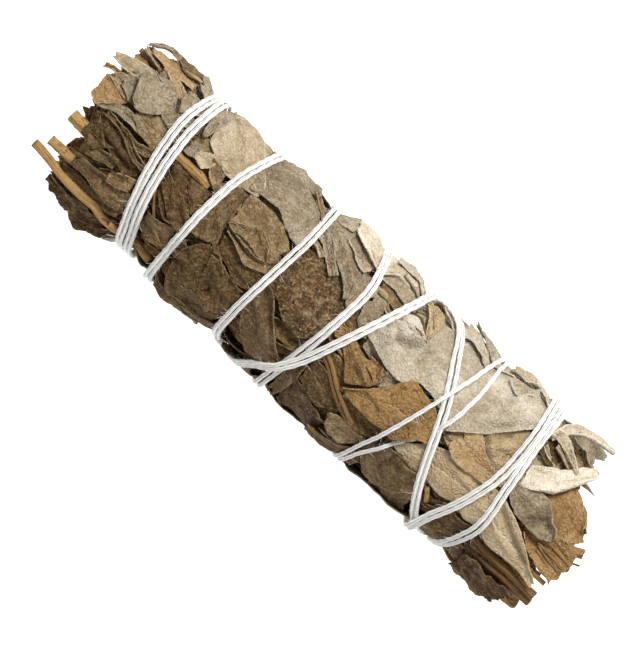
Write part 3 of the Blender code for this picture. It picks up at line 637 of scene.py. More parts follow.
BROWN = leaf_finish("brown_leaf", tone(131, 106, 73), tone(78, 57, 32), tone(163, 141, 105),
                    tone(150, 124, 87),
                    tone(109, 83, 51), net=0.5, veins=0.4, felt=0.6, creased=0.6)
BROWN_ROUND = leaf_finish("round_brown_leaf", tone(116, 91, 57), tone(66, 45, 24), tone(153, 128, 89),
                          tone(131, 106, 69), tone(91, 67, 38), net=0.5, veins=0.35, felt=0.65, creased=0.6)
BROWN_PALE = leaf_finish("pale_brown_leaf", tone(164, 140, 103), tone(104, 79, 47), tone(191, 171, 135),
                         tone(171, 144, 101), tone(135, 106, 68), net=0.45, veins=0.35, felt=0.6, rough=0.45,
                         creased=0.6)
RUSTY = leaf_finish("rusty_leaf", tone(122, 97, 64), tone(68, 48, 25), tone(173, 150, 115),
                    tone(130, 102, 62),
                    tone(143, 102, 53), specks=0.6, net=0.7, veins=0.1, felt=1.0, rough=0.9, creased=0.8)
DARK = leaf_finish("dark_leaf", tone(104, 78, 48), tone(54, 37, 18), tone(144, 118, 82), tone(117, 92, 58),
                   tone(78, 56, 30), net=0.5, veins=0.3, felt=0.65, creased=0.6)
BROWN_LEAVES = (
    ("spotted_tan_leaf", TAN, "tan_leaf",
     ((158, -9), (151, -5), (142, 8), (136, 14), (120, 14), (105, 17), (96, 8), (86, -7), (74, -20),
      (56, -33)),
     ((157, -14), (155, -20), (143, -25), (136, -34), (124, -43), (110, -41), (92, -41), (74, -40),
      (58, -38)),
     dict(depth=-0.6, rise=(0.4, 0.35), crumple=0.25, size=7.0, seed=41.0, tip=0.2, ragged=0.45, sharp=0.5,
          folds=((70, -20, 95, -26, 0.5, -1.0), (100, 12, 120, -30, 0.2, 1.0),
                 (136, 14, 132, -30, 0.3, 0.9)))),
    ("split_tan_leaf", TAN_TORN, "tan_leaf",
     ((12, 20), (24, 13), (36, 6), (46, 3), (56, 2), (62, 7), (72, 7), (78, -4)),
     ((12, 0), (22, -6), (32, -11), (42, -18), (52, -30), (60, -27), (70, -21), (77, -10)),
     dict(depth=0.35, rise=(0.4, 0.3), crumple=0.35, size=4.0, seed=44.0, tip=0.3, ragged=0.5, sharp=0.5,
          folds=((42, -2, 72, -16, 1.0, 0.6), (72, 6, 76, -12, 0.5, 0.5), (24, 8, 46, -12, 0.45, 0.6)))),
    ("long_pointed_leaf", TAN_PALE, "tan_leaf",
     ((132, -38), (144, -30), (159, -20), (181, -10), (204, -7), (228, -6), (252, -9), (284, -20), (306, -36),
      (326, -50)),
     ((131, -46), (143, -49), (160, -50), (178, -51), (200, -50), (228, -50), (256, -53), (282, -52),
      (306, -51), (327, -54)),
     dict(depth=0.3, rise=(0.1, 0.2), crumple=0.3, size=9.0, seed=47.0, tip=0.7,
          folds=((188, -19, 222, -25, 0.35, 0.6), (222, -25, 290, -44, 0.3, 0.6),
                 (252, -12, 312, -42, 0.5, -1.6),
                 (256, -22, 306, -42, -0.35, 0.6), (150, -36, 200, -38, 0.25, 1.4)))),
    ("cracked_tan_leaf", TAN_CRACKED, "tan_leaf",
     ((240, 66), (229, 64), (214, 54), (200, 38), (184, 22), (164, 3)),
     ((240, -2), (226, -6), (210, -9), (196, -11), (182, -12), (162, -6)),
     dict(depth=0.65, rise=(0.1, 0.2), crumple=0.25, size=5.0, seed=50.0, tip=0.0,
          folds=((194, 27, 206, 14, 0.9, -1.5), (206, 14, 230, 7, 0.6, -1.5), (206, 18, 228, 40, 0.6, -1.4),
                 (212, 14, 232, 32, -0.5, 0.5), (198, 30, 212, 44, -0.4, 0.4), (166, 0, 180, 4, 0.6, 0.5)))),
    ("tan_end_leaf", TAN_END, "tan_leaf",
     ((278, 46), (296, 46), (306, 42), (314, 35), (324, 28), (330, 20)),
     ((280, 16), (292, 10), (306, 4), (316, 2), (326, 4), (331, 10)),
     dict(depth=0.6, rise=(0.6, 0.5), crumple=0.4, size=4.0, seed=53.0, tip=0.2, ragged=0.8, sharp=0.6)),
    ("curled_tan_leaf", TAN_END, "tan_leaf",
     ((-292, 32), (-306, 32), (-318, 36), (-330, 34)),
     ((-298, 22), (-308, 13), (-317, 4), (-328, 10)),
     dict(depth=0.25, rise=(0.5, 0.7), roll=(0.6, 1.2), crumple=0.25, size=4.0, seed=56.0, tip=0.2)),
    ("tan_square_leaf", BROWN_PALE, "tan_leaf",
     ((-76, 30), (-90, 38), (-106, 42), (-124, 44), (-139, 42)),
     ((-80, 4), (-92, 3), (-106, 3), (-120, 4), (-131, 2), (-142, 7)),
     dict(depth=-0.05, rise=(0.2, 1.0), roll=(0.0, 1.3), crumple=0.4, size=4.5, seed=59.0, tip=0.3,
          ragged=0.4, sharp=0.5,
          folds=((-140, 12, -112, 24, 0.6, 0.6), (-112, 24, -84, 12, 0.5, 0.6),
                 (-98, 40, -84, 24, 0.4, 0.6)))),
    ("brown_round_leaf", BROWN_ROUND, "brown_leaf",
     ((-110, -30), (-122, -22), (-138, -20), (-150, -28), (-157, -42), (-158, -52)),
     ((-110, -60), (-122, -70), (-134, -80), (-144, -79), (-152, -68), (-157, -58)),
     dict(depth=0.5, rise=(0.9, 0.7), crumple=0.6, size=3.4, seed=62.0, tip=0.6, sharp=0.8, crinkle=0.1,
          ragged=0.4,
          folds=((-150, -32, -136, -46, 0.4, 0.5), (-136, -46, -140, -70, 0.4, 0.5)))),
    ("veined_brown_leaf", BROWN, "brown_leaf",
     ((-71, -9), (-57, -14), (-43, -30), (-27, -43), (-18, -53), (-12, -62)),
     ((-71, -34), (-70, -50), (-56, -62), (-43, -74), (-27, -75), (-13, -66)),
     dict(depth=-0.1, rise=(0.9, 0.6), roll=(1.2, 0.0), crumple=0.3, size=5.0, seed=65.0, tip=0.3,
          folds=((-70, -30, -43, -45, 0.5, 0.5), (-43, -45, -20, -58, 0.4, 0.5),
                 (-66, -20, -40, -38, -0.4, 0.8)))),
    ("rusty_leaf", RUSTY, "brown_leaf",
     ((4, 44), (-14, 48), (-34, 50), (-54, 48), (-72, 44)),
     ((4, -24), (-14, -30), (-34, -26), (-54, -16), (-72, -10)),
     dict(depth=0.6, rise=(0.2, 0.2), crumple=0.4, size=2.6, seed=68.0, tip=0.0, sharp=0.7, crinkle=0.14,
          ragged=0.8)),
    ("lower_brown_leaf", BROWN, "brown_leaf",
     ((172, -54), (158, -48), (142, -44), (126, -50), (112, -62)),
     ((172, -72), (156, -78), (140, -82), (126, -82), (110, -74)),
     dict(depth=0.5, rise=(0.6, 0.6), crumple=0.4, size=4.0, seed=71.0, sharp=0.5)),
    ("dark_side_leaf", BROWN_ROUND, "brown_leaf",
     ((-214, 4), (-200, -2), (-190, -4), (-176, -14), (-168, -26)),
     ((-212, -16), (-200, -24), (-190, -30), (-180, -28), (-170, -32)),
     dict(depth=0.4, rise=(0.6, 0.9), roll=(0.0, 1.0), crumple=0.35, size=3.6, seed=74.0, sharp=0.5)),
    ("dark_end_leaf", DARK, "dark_leaf",
     ((-240, -12), (-256, -4), (-272, 4), (-286, 8), (-306, 4)),
     ((-240, -30), (-256, -26), (-272, -20), (-288, -16), (-308, -20)),
     dict(depth=0.6, rise=(1.0, 0.9), roll=(1.0, 0.0), crumple=0.4, size=3.6, seed=77.0, ragged=0.5,
          sharp=0.5,
          folds=((-250, -14, -290, -6, 0.8, 0.7), (-250, -22, -290, -14, -0.5, 0.6)))),
    ("dark_low_leaf", DARK, "dark_leaf",
     ((-216, -72), (-232, -72), (-250, -73), (-268, -74), (-304, -74)),
     ((-217, -80), (-226, -87), (-240, -94), (-252, -95), (-262, -88), (-276, -86), (-302, -80)),
     dict(depth=0.7, rise=(0.3, 0.7), roll=(0.0, 1.4), crumple=0.6, size=3.6, seed=80.0, ragged=1.0,
          sharp=0.8,
          crinkle=0.15, frill=0.3, folds=((-222, -92, -260, -96, 0.8, 0.8),))),
)
lay_leaves(BROWN_LEAVES)

# Smaller leaves and leaf parts of the leafy sprigs that show between the large ones: torn, folded and
# wrinkled bits of every colour, each growing from the sprig that it lies over.
SHOWN = (
    (GREY_DULL, ((-296, 66), (-306, 64), (-313, 55)), ((-280, 30), (-296, 27), (-309, 36)), 0.0, 3.0, {}),
    (GREY_DULL, ((-296, 46), (-312, 48), (-320, 46), (-327, 38)),
     ((-298, 28), (-308, 28), (-318, 32), (-327, 34)), 0.2, 3.0, {}),
    (GREY_GREEN, ((-262, 20), (-275, 24), (-292, 23), (-305, 20), (-316, 11)),
     ((-264, 12), (-276, 12), (-292, 12), (-304, 9), (-316, 5)), -0.1, 2.2, dict(crumple=0.5, sharp=0.8)),
    (BROWN_PALE, ((-242, 40), (-252, 44), (-264, 36), (-283, 34)),
     ((-242, 8), (-254, 12), (-268, 12), (-283, 22)), 0.5, 3.0, {}),
    (GREY_GREEN, ((-245, 70), (-249, 74), (-255, 76)), ((-246, 60), (-251, 55), (-259, 64)), -0.3, 2.5, {}),
    (GREY_DULL, ((-240, 55), (-250, 54), (-262, 50)), ((-240, 36), (-250, 38), (-263, 40)), 0.3, 2.5, {}),
    (WARM, ((-259, 74), (-272, 80), (-290, 80)), ((-260, 66), (-273, 71), (-290, 76)), -0.2, 3.0,
     dict(stretch=1.8)),
    (GREY_DULL, ((-278, 72), (-283, 78), (-290, 75)), ((-277, 66), (-285, 65), (-294, 68)), -0.3, 3.0, {}),
    (WARM, ((-255, 92), (-275, 93), (-290, 92), (-311, 86)), ((-255, 79), (-270, 79), (-290, 80), (-311, 80)),
     0.0, 3.0,
     dict(stretch=2.0, folds=((-255, 88, -311, 85, -0.6, 0.3), (-255, 83, -311, 83, 0.5, 0.3)))),
    (BROWN, ((-252, 99), (-266, 98), (-288, 98)), ((-254, 88), (-268, 88), (-288, 91)), 0.0, 3.0, {}),
    (GREY_GREEN, ((-284, 101), (-298, 100), (-309, 95), (-317, 89), (-320, 84)),
     ((-288, 95), (-298, 96), (-307, 91), (-314, 86), (-318, 83)), -0.8, 3.0, dict(crumple=0.1)),
    (GREY_GREEN, ((-240, 97), (-248, 99), (-256, 99)), ((-240, 84), (-247, 84), (-254, 86)), 0.1, 2.2, {}),
    (GREY_DULL, ((-296, 81), (-308, 81), (-320, 81)), ((-298, 74), (-310, 75), (-320, 75)), 0.2, 2.5, {}),
    (TAN_END, ((-318, 47), (-328, 46), (-336, 42)), ((-318, 39), (-328, 38), (-336, 37)), 0.5, 2.5,
     dict(roll=(1.5, 1.5))),
    (GREY_GREEN, ((-221, 93), (-223, 80), (-222, 66), (-221, 55)),
     ((-208, 93), (-208, 80), (-210, 66), (-213, 55)), 0.2, 2.2,
     dict(crumple=0.5, sharp=0.8)),
    (BROWN_PALE, ((-221, 62), (-212, 56), (-198, 50)), ((-221, 42), (-212, 40), (-202, 43)), 0.5, 2.5, {}),
    (GREY_GREEN, ((-220, 46), (-214, 46), (-207, 42)), ((-220, 32), (-213, 31), (-207, 33)), 0.1, 2.0, {}),
    (BROWN_PALE, ((-171, 46), (-182, 46), (-195, 45)), ((-173, 22), (-184, 27), (-191, 33)), 0.25, 2.5,
     dict(rise=(0.6, 0.9))),
    (BROWN_ROUND, ((-171, 20), (-190, 14), (-205, 16), (-219, 16)),
     ((-171, -24), (-182, -30), (-195, -22), (-216, -8)), 0.7, 3.0,
     dict(folds=((-214, 12, -184, -24, 0.6, 0.5), (-200, 12, -176, -14, -0.5, 0.5)))),
    (BROWN_PALE, ((-234, -24), (-246, -26), (-258, -30)), ((-234, -40), (-248, -42), (-260, -42)), 0.5, 2.5,
     {}),
    (BROWN, ((-262, -20), (-278, -22), (-294, -24)), ((-262, -32), (-276, -33), (-292, -34)), 0.6, 2.5,
     dict(stretch=1.8)),
    (BROWN, ((-228, -42), (-250, -42), (-270, -40), (-292, -40)),
     ((-228, -58), (-250, -57), (-270, -54), (-296, -52)), 0.5, 3.0,
     dict(stretch=2.2, rise=(0.4, 1.1))),
    (BROWN_ROUND, ((-262, 8), (-280, 2), (-298, 2), (-312, 2)),
     ((-268, -12), (-284, -22), (-298, -26), (-308, -22)), 0.9, 2.2, {}),
    (BROWN_ROUND, ((-226, -56), (-250, -58), (-275, -57), (-302, -58)),
     ((-226, -66), (-250, -66), (-275, -66), (-300, -66)), 0.8, 2.5,
     dict(stretch=2.2)),
    (BROWN, ((-163, 47), (-164, 20), (-165, -5), (-162, -24)),
     ((-139, 45), (-141, 20), (-140, 0), (-132, -20)), 0.5, 2.6,
     dict(crumple=0.6, sharp=0.8, rise=(0.3, 0.8))),
    (BROWN_PALE, ((-78, 8), (-100, 8), (-120, 8), (-137, 6)),
     ((-77, -6), (-92, -8), (-102, -12), (-120, -5), (-136, 1)), 0.3, 3.0,
     dict(rise=(0.2, 1.0))),
    (BROWN_ROUND, ((-76, -4), (-96, -6), (-116, -4), (-134, -4)),
     ((-80, -28), (-96, -32), (-114, -24), (-132, -22)), 0.6, 3.0,
     dict(folds=((-126, -16, -84, -22, 0.4, 0.5),))),
    (BROWN_ROUND, ((-82, -32), (-98, -32), (-114, -26), (-132, -26)),
     ((-82, -68), (-100, -68), (-114, -66), (-122, -58)), 0.4, 3.0,
     dict(folds=((-121, -58, -113, -58, -1.6, 0.9), (-128, -34, -90, -50, 0.4, 0.7)))),
    (BROWN, ((-82, -62), (-100, -64), (-118, -66), (-134, -70)),
     ((-84, -82), (-100, -82), (-118, -82), (-138, -84)), 0.5, 2.6,
     dict(stretch=2.4, sharp=0.8)),
    (BROWN, ((-72, -74), (-96, -80), (-120, -80), (-160, -80)),
     ((-72, -92), (-96, -93), (-120, -91), (-156, -84)), 0.4, 3.0,
     dict(stretch=2.4, sharp=0.8)),
    (BROWN_PALE, ((-72, 78), (-84, 85), (-97, 91)), ((-72, 73), (-84, 79), (-97, 86)), -0.6, 2.5,
     dict(roll=(1.0, 1.0))),
    (GREY, ((-64, 70), (-50, 62), (-38, 52), (-26, 40)), ((-64, 62), (-52, 54), (-42, 46), (-30, 36)), 0.2,
     2.5, dict(rise=(0.8, 0.9))),
    (PALE_WARM, ((-62, 58), (-54, 55), (-46, 48)), ((-62, 52), (-56, 49), (-50, 44)), 0.0, 2.0, {}),
    (GREY_DULL, ((-11, 66), (-8, 50), (-3, 36), (0, 26)), ((6, 68), (10, 52), (9, 36), (7, 24)), 0.2, 2.4,
     {}),
    (GREY, ((57, 82), (40, 84), (24, 84), (8, 80)), ((57, 69), (40, 68), (24, 68), (6, 70)), 0.3, 4.0,
     dict(crumple=0.2)),
    (BROWN_PALE, ((56, 70), (40, 70), (14, 70)), ((54, 58), (38, 56), (16, 56)), 0.6, 2.6, {}),
    (TAN_CRACKED, ((38, 54), (24, 62), (6, 64)), ((40, 48), (24, 50), (8, 50)), 0.35, 2.6, {}),
    (GREY_GREEN, ((36, 46), (28, 53), (17, 50)), ((36, 26), (29, 18), (20, 22), (16, 36)), 0.3, 2.2,
     dict(rise=(0.8, 0.4))),
    (BROWN, ((16, 52), (22, 52), (40, 50)), ((14, 14), (24, 12), (38, 14)), 0.8, 2.2, {}),
    (TAN_CRACKED, ((86, 79), (78, 84), (70, 86), (62, 88)), ((86, 56), (80, 61), (72, 71), (62, 82)), 0.3,
     4.0,
     dict(crumple=0.15, folds=((63, 86, 84, 58, -0.8, 0.3), (68, 86, 86, 64, -0.5, 0.25)))),
    (BROWN, ((83, 57), (72, 66), (57, 71)), ((82, 54), (68, 56), (56, 61)), 0.55, 2.0,
     dict(stretch=2.4, sharp=0.9)),
    (GREY_GREEN, ((76, 8), (58, 15), (40, 18)), ((76, 3), (58, 2), (40, 8)), 0.6, 2.0, dict(crumple=0.5)),
    (TAN_TORN, ((77, 6), (68, 8), (57, 7)), ((78, -13), (70, -9), (58, -5)), 0.3, 2.5, {}),
    (GREY_GREEN, ((97, 8), (86, 7), (74, 6)), ((94, -4), (84, -11), (76, -10)), 0.8, 3.0, {}),
    (BROWN_PALE, ((106, -61), (90, -59), (76, -57), (61, -57)), ((103, -73), (88, -76), (74, -75), (63, -67)),
     0.2, 3.0,
     dict(rise=(0.3, 0.8))),
    (BROWN_ROUND, ((120, -40), (100, -39), (82, -40), (64, -40)),
     ((117, -57), (98, -58), (80, -55), (64, -48)), 0.6, 3.0,
     dict(stretch=2.4)),
    (BROWN, ((2, -46), (1, -62), (0, -78), (2, -92)), ((15, -44), (16, -62), (14, -78), (7, -93)), 0.3, 3.0,
     {}),
    (BROWN_ROUND, ((62, -38), (45, -36), (30, -34), (16, -32)), ((64, -56), (48, -62), (32, -60), (16, -56)),
     0.6, 2.6,
     dict(stretch=1.8)),
    (DARK, ((66, -70), (45, -66), (25, -60), (14, -58)), ((60, -90), (42, -90), (22, -88), (12, -84)), 0.3,
     2.4, dict(sharp=0.8)),
    (BROWN, ((114, -78), (92, -80), (56, -80)), ((114, -92), (92, -94), (54, -94)), 0.0, 2.6,
     dict(stretch=2.0)),
    (PALE, ((222, 98), (208, 96), (194, 97)), ((222, 89), (208, 91), (196, 90)), -0.5, 4.0,
     dict(crumple=0.3)),
    (PALE_WARM, ((200, 99), (186, 101), (170, 98)), ((202, 92), (186, 88), (172, 91)), -0.8, 3.4,
     dict(crumple=0.35, rise=(0.5, 0.9))),
    (PALE, ((172, 94), (160, 96), (146, 94)), ((174, 86), (162, 87), (148, 84)), -0.4, 3.0,
     dict(crumple=0.4)),
    (GREY_GREEN, ((150, 98), (130, 99), (112, 101)), ((152, 88), (130, 91), (112, 97)), -0.3, 3.0,
     dict(rise=(0.3, 0.8))),
    (PALE, ((150, 86), (138, 90), (122, 92), (104, 92)), ((150, 80), (136, 80), (120, 82), (106, 82)), -0.1,
     3.0, dict(rise=(0.5, 0.8))),
    (PALE, ((102, 88), (90, 95), (76, 97)), ((100, 80), (88, 84), (74, 90)), 0.5, 3.0, dict(rise=(0.5, 0.5))),
    (PALE, ((52, 96), (40, 101), (26, 101), (12, 98)), ((52, 90), (40, 93), (26, 94), (14, 92)), -0.6, 2.6,
     dict(crumple=0.45)),
    (GREY, ((50, 90), (38, 92), (24, 92)), ((50, 85), (38, 84), (26, 86)), -0.3, 2.6, dict(rise=(0.3, 0.9))),
    (GREY_DULL, ((-156, 98), (-136, 99), (-112, 99), (-92, 97)),
     ((-156, 82), (-136, 85), (-112, 87), (-94, 85)), 0.1, 3.0,
     dict(rise=(0.6, 0.5), crumple=0.5)),
    (GREY, ((-68, 98), (-54, 99), (-40, 99)), ((-68, 88), (-54, 84), (-40, 84)), 0.0, 2.6,
     dict(rise=(0.5, 0.4))),
    (PALE_WARM, ((-46, 88), (-22, 84), (-2, 77)), ((-42, 76), (-22, 66), (-5, 58)), 0.1, 3.0,
     dict(rise=(0.3, 0.8))),
    (BROWN_PALE, ((-84, 6), (-92, 17), (-104, 24), (-118, 23), (-137, 13)),
     ((-84, 2), (-100, 2), (-118, 2), (-138, 5)), -0.35, 2.6,
     dict(rise=(0.8, 0.6))),
    (DARK, ((-232, -76), (-250, -75), (-274, -75), (-298, -74)),
     ((-232, -86), (-250, -86), (-272, -83), (-302, -78)), 0.1, 2.2,
     dict(crumple=0.5, ragged=1.0, sharp=0.9, stretch=1.6)),
    (BROWN_ROUND, ((-222, -80), (-230, -84), (-244, -88)), ((-226, -90), (-238, -95), (-252, -96)), 0.1, 2.0,
     dict(roll=(0.0, 1.5), ragged=0.6)),
    (BROWN, ((-244, 10), (-262, 4), (-282, 9), (-302, 11)), ((-242, 0), (-262, -4), (-282, 2), (-304, 5)),
     0.1, 2.0,
     dict(roll=(1.0, 0.6), stretch=1.6)),
    (BROWN, ((-236, -6), (-252, -2), (-270, 6)), ((-236, -16), (-254, -12), (-274, 0)), 0.0, 2.0,
     dict(rise=(1.0, 0.9))),
    (BROWN_ROUND, ((-280, -18), (-294, -8), (-304, -2)), ((-288, -30), (-300, -26), (-311, -16)), 0.2, 2.0,
     dict(crumple=0.5)),
    (BROWN, ((-172, -30), (-190, -34), (-206, -36)), ((-172, -56), (-190, -58), (-204, -54)), 0.6, 2.4,
     dict(stretch=1.6)),
    (PALE, ((176, 84), (188, 86), (199, 85)), ((176, 82), (188, 73), (199, 83)), -0.7, 4.0,
     dict(rise=(0.7, 0.7))),
    (WARM, ((234, 8), (216, 6), (202, 14), (190, 24), (176, 12)),
     ((234, -12), (216, -13), (200, -15), (184, -15), (170, -6)), 0.35, 3.6,
     dict(crumple=0.2)),
    (PALE_WARM, ((286, 63), (270, 72), (258, 77), (243, 77)), ((284, 57), (268, 64), (256, 68), (243, 71)),
     -0.4, 3.0,
     dict(roll=(1.2, 1.2), crumple=0.2)),
    (PALE_WARM, ((280, 60), (266, 65), (252, 67)), ((276, 56), (264, 59), (252, 62)), 0.1, 2.4,
     dict(crumple=0.2)),
    (GREY_GREEN, ((292, 82), (284, 90), (274, 92), (262, 89)), ((291, 75), (282, 77), (272, 81), (262, 81)),
     -0.4, 2.6,
     dict(rise=(0.4, 0.9))),
    (BROWN_ROUND, ((266, 64), (254, 70), (242, 68)), ((266, 46), (254, 44), (242, 50)), 1.1, 2.4, {}),
    (PALE_WARM, ((258, 55), (252, 56), (244, 60)), ((258, 50), (252, 50), (244, 56)), 0.6, 2.0, {}),
    (TAN_END, ((286, -14), (298, -8), (312, 1), (326, 2), (338, 4)),
     ((284, -20), (300, -32), (318, -37), (330, -39), (342, -38)), 0.5, 2.4,
     dict(stretch=2.0, ragged=1.0, crumple=0.4, sharp=0.8)),
    (BROWN_PALE, ((310, 38), (320, 34), (329, 24)), ((314, 12), (322, 6), (331, 6)), 0.9, 2.4,
     dict(ragged=1.0)),
    (BROWN, ((182, -52), (160, -50), (138, -48)), ((182, -88), (160, -90), (138, -86)), 0.5, 2.6, {}),
    (BROWN_ROUND, ((254, -54), (230, -53), (205, -52)), ((252, -78), (228, -78), (204, -76)), 0.6, 2.6,
     dict(stretch=1.6)),
    (BROWN, ((254, -76), (230, -76), (200, -78)), ((254, -94), (232, -94), (204, -94)), 0.3, 2.4, {}),
    (DARK, ((318, -74), (296, -73), (276, -74), (256, -76)), ((312, -88), (296, -93), (276, -97), (256, -95)),
     -0.2, 2.4,
     dict(crumple=0.6, ragged=1.0, sharp=0.8)),
)
for number, (finish, upper, lower, depth, size, ways) in enumerate(SHOWN):
    edges = [seen(edge, LEAF_RADIUS - depth) for edge in (upper, lower)]
    angle = math.degrees(np.concatenate(edges)[:, 1].mean() / ARC_RADIUS)
    sprig = 1 + int(round((angle + 50.0) / 51.43)) % 7
    shape = dict(rise=(0.5, 0.7), crumple=0.38, sharp=0.6, crinkle=0.1, ragged=0.4, tip=0.3, step=0.34)
    shape.update(ways)
    sheet = blade(*edges, depth=depth, size=size, seed=200.0 + 3.0 * number, **shape)
    make_piece(f"leafy_sprig_{sprig}_leaf_{number + 1:02d}", [sheet], finish, [f"leafy_sprig_{sprig}"])

# The leaves round the back: the same mixture, laid along the stick in staggered rows. Their places
# are those of the solids they stand for.
BACK_FINISHES = {"grey_leaf": GREY, "brown_leaf": BROWN, "cream_leaf": PALE, "tan_leaf": TAN,
                 "dark_leaf": DARK}
SLOT_OF = {part["node"]: part["material_slot"] for part in frame["record"]["subparts"]}
for number in range(1, 22):
    node = f"back_leaf_{number:02d}"
    low, high = (np.array(corner) * 1000.0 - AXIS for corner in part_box(node))
    middle = 0.5 * (low + high)
    angle = math.degrees(math.atan2(middle[1], middle[2])) % 360.0
    arc = math.radians(angle) * ARC_RADIUS
    way = -1.0 if number % 2 else 1.0
    turn = 1.3 * math.sin(number * 2.4)
    start = (middle[0] - way * 10.0, arc - turn)
    end = (middle[0] + way * 10.4, arc + turn)
    upper, lower = outline(start, end, 11.2 - 1.2 * math.sin(number), 0.7 * math.sin(number * 1.7))
    outermost = np.hypot(middle[1], middle[2]) > 12.7
    below = abs(turned(angle, 180.0)) < 50.0
    depth = 0.0 if outermost and not below else 0.55
    lift = 0.15 if below else 0.7
    sheet = blade(upper, lower, depth=depth, seed=90.0 + number, rise=(lift, lift * 0.8),
                  roll=(0.0 if below else 0.9 * (number % 3), 0.0), crumple=0.16 if below else 0.32,
                  size=3.8, tip=0.0 if below else 0.3, step=0.5)
    make_piece(f"{node}_blade", [sheet], BACK_FINISHES[SLOT_OF[node]], [node])

# The leafy sprigs: cut lengths of sage, their leaves crumpled and pressed one on another until the
# bundle is firm. They show as dark folds between the outer leaves and as ragged layers at both ends.
RING_SPRIGS = 7
HALF_SECTOR = 180.0 / RING_SPRIGS
CORE_DEPTH = 2.4
OUTER_SPOTS = 34
INNER_SPOTS = 8


def leaf_end(angle, side):
    """How far the leafy mass reaches at each angle: straight lines between measured ends. The upper
    right and both lower corners are cut back."""
    turn = turned(angle, 0.0)
    if side < 0.0:
        return np.interp(turn, (-180, -90, -60, -30, 0, 25, 45, 65, 90, 180),
                         (-48, -46, -48, -49, -49.6, -50.5, -51.5, -50, -47, -48))
    return np.interp(turn, (-180, -90, -65, -40, -20, 0, 20, 38, 60, 90, 180),
                     (49, 46.5, 49.5, 51, 52, 51.5, 49.5, 47, 44, 43, 49))


def core(middle, half_angle, inner, seed):
    """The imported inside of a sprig: a ring of points round its sector, carried along the stick. The
    outer side follows the bundle's surface 2.4 mm down with creased folds that run lengthwise."""
    share = np.linspace(-1.0, 1.0, OUTER_SPOTS)[None, :]
    back = middle - np.linspace(-1.0, 1.0, INNER_SPOTS)[None, :] * (half_angle - 2.6)
    angle = middle + share * (half_angle - 0.9)
    spots = np.concatenate([angle, back], axis=1)
    low, high = leaf_end(spots, -1.0) + 1.0, leaf_end(spots, 1.0) - 1.0
    length = np.linspace(0.0, 1.0, 160)[:, None]
    long = low + length * (high - low)
    x = long[:, :OUTER_SPOTS]
    arc = np.radians(angle) * ARC_RADIUS
    folds = creases(x / 7.0 + seed, arc / 1.5, seed)
    radius = bundle_radius(x, angle) - CORE_DEPTH + 0.55 * folds
    radii = np.concatenate([radius, np.full((len(x), INNER_SPOTS), inner)], axis=1)
    rings = on_stick(long, spots + 0.0 * radii, radii)
    count = radii.shape[1]
    caps = rings.mean(1, keepdims=True)
    rings = np.concatenate([np.repeat(caps[:1], count, 1), rings, np.repeat(caps[-1:], count, 1)])
    along = np.concatenate([length[:1], length, length[-1:]])
    across = ARC_RADIUS * np.radians(spots) * 2.0
    place = np.stack(np.broadcast_arrays(along * 99.0, across, 9.0 + 0.0 * along), axis=-1)
    cover = np.stack(np.broadcast_arrays(along, np.linspace(0.0, 1.0, count)[None, :]), axis=-1)
    return {"points": rings, "place": place, "cover": cover, "shade": 0.15, "wrap": True}


def paleness(x, angle):
    """How pale the leaves are at a place: the top's +Y side is pale to the right and grey to the left,
    the -Y side is brown, and the back is mixed."""
    side = turned(angle, 0.0)
    pale_line = 14.0 - 0.55 * x
    top = 1.0 / (1.0 + math.exp(-(side - pale_line) / 9.0))
    mixed = 0.5 + 0.5 * math.sin(x * 0.21 + math.radians(angle) * 5.0)
    back = min(1.0, max(0.0, (abs(side) - 85.0) / 40.0))
    return top * (1.0 - back) + mixed * back


def pressed_leaves(draw, middle, count):
    """Crumpled leaves over one sprig, at random depths from 1 to 2.1 mm, mostly lengthwise. Most of those on
    the dark side dried as folded ribbons: narrow, both edges up, curved along the stick."""
    front = abs(turned(middle, 0.0)) < 110.0
    count = count if front else count // 2
    sheets = []
    for number in range(count):
        angle = middle + draw.uniform(-0.92, 0.92) * HALF_SECTOR
        low, high = leaf_end(angle, -1.0) + 3.0, leaf_end(angle, 1.0) - 3.0
        x = float(low + (high - low) * (number + draw.uniform(0.1, 0.9)) / count)
        arc = math.radians(angle) * ARC_RADIUS
        dark = paleness(x, angle) < 0.4
        ribbon = draw.uniform() < (0.6 if dark else 0.25)
        if ribbon:
            length, width = draw.uniform(8.0, 20.0), draw.uniform(1.6, 3.8)
        else:
            length, width = draw.uniform(6.0, 15.0), draw.uniform(3.5, 7.5)
        slant = draw.normal(0.0, 0.25 if ribbon else 0.45)
        way = draw.choice((-1.0, 1.0)) * 0.5 * length
        dx, dy = way * math.cos(slant), way * math.sin(slant)
        upper, lower = outline((x - dx, arc - dy), (x + dx, arc + dy), width, draw.uniform(-2.0, 2.0))
        shade = float(np.clip(paleness(x, angle) * 0.8 + draw.uniform(-0.15, 0.3), 0.0, 1.0))
        below = abs(turned(angle, 180.0)) < 50.0
        rise = (draw.uniform(0.2, 1.1), draw.uniform(0.2, 1.1))
        if ribbon:
            rise = (draw.uniform(0.6, 1.5), draw.uniform(0.6, 1.5))
        sheets.append(blade(upper, lower, depth=draw.uniform(1.0, 2.1), seed=draw.uniform(1.0, 900.0),
                            rise=(0.1, 0.1) if below else rise,
                            roll=(draw.uniform(-1.0, 2.0), draw.uniform(-1.0, 2.0)),
                            crumple=draw.uniform(0.25, 0.55), size=draw.uniform(2.4, 4.5),
                            sharp=draw.uniform(0.2, 0.8), ragged=draw.uniform(0.2, 0.9),
                            crinkle=draw.uniform(0.02, 0.1), frill=0.12, stretch=draw.uniform(1.0, 1.8),
                            tip=draw.uniform(-0.2, 0.5), shade=shade, ceiling=0.75,
                            step=0.52 if front else 0.9))
    return sheets


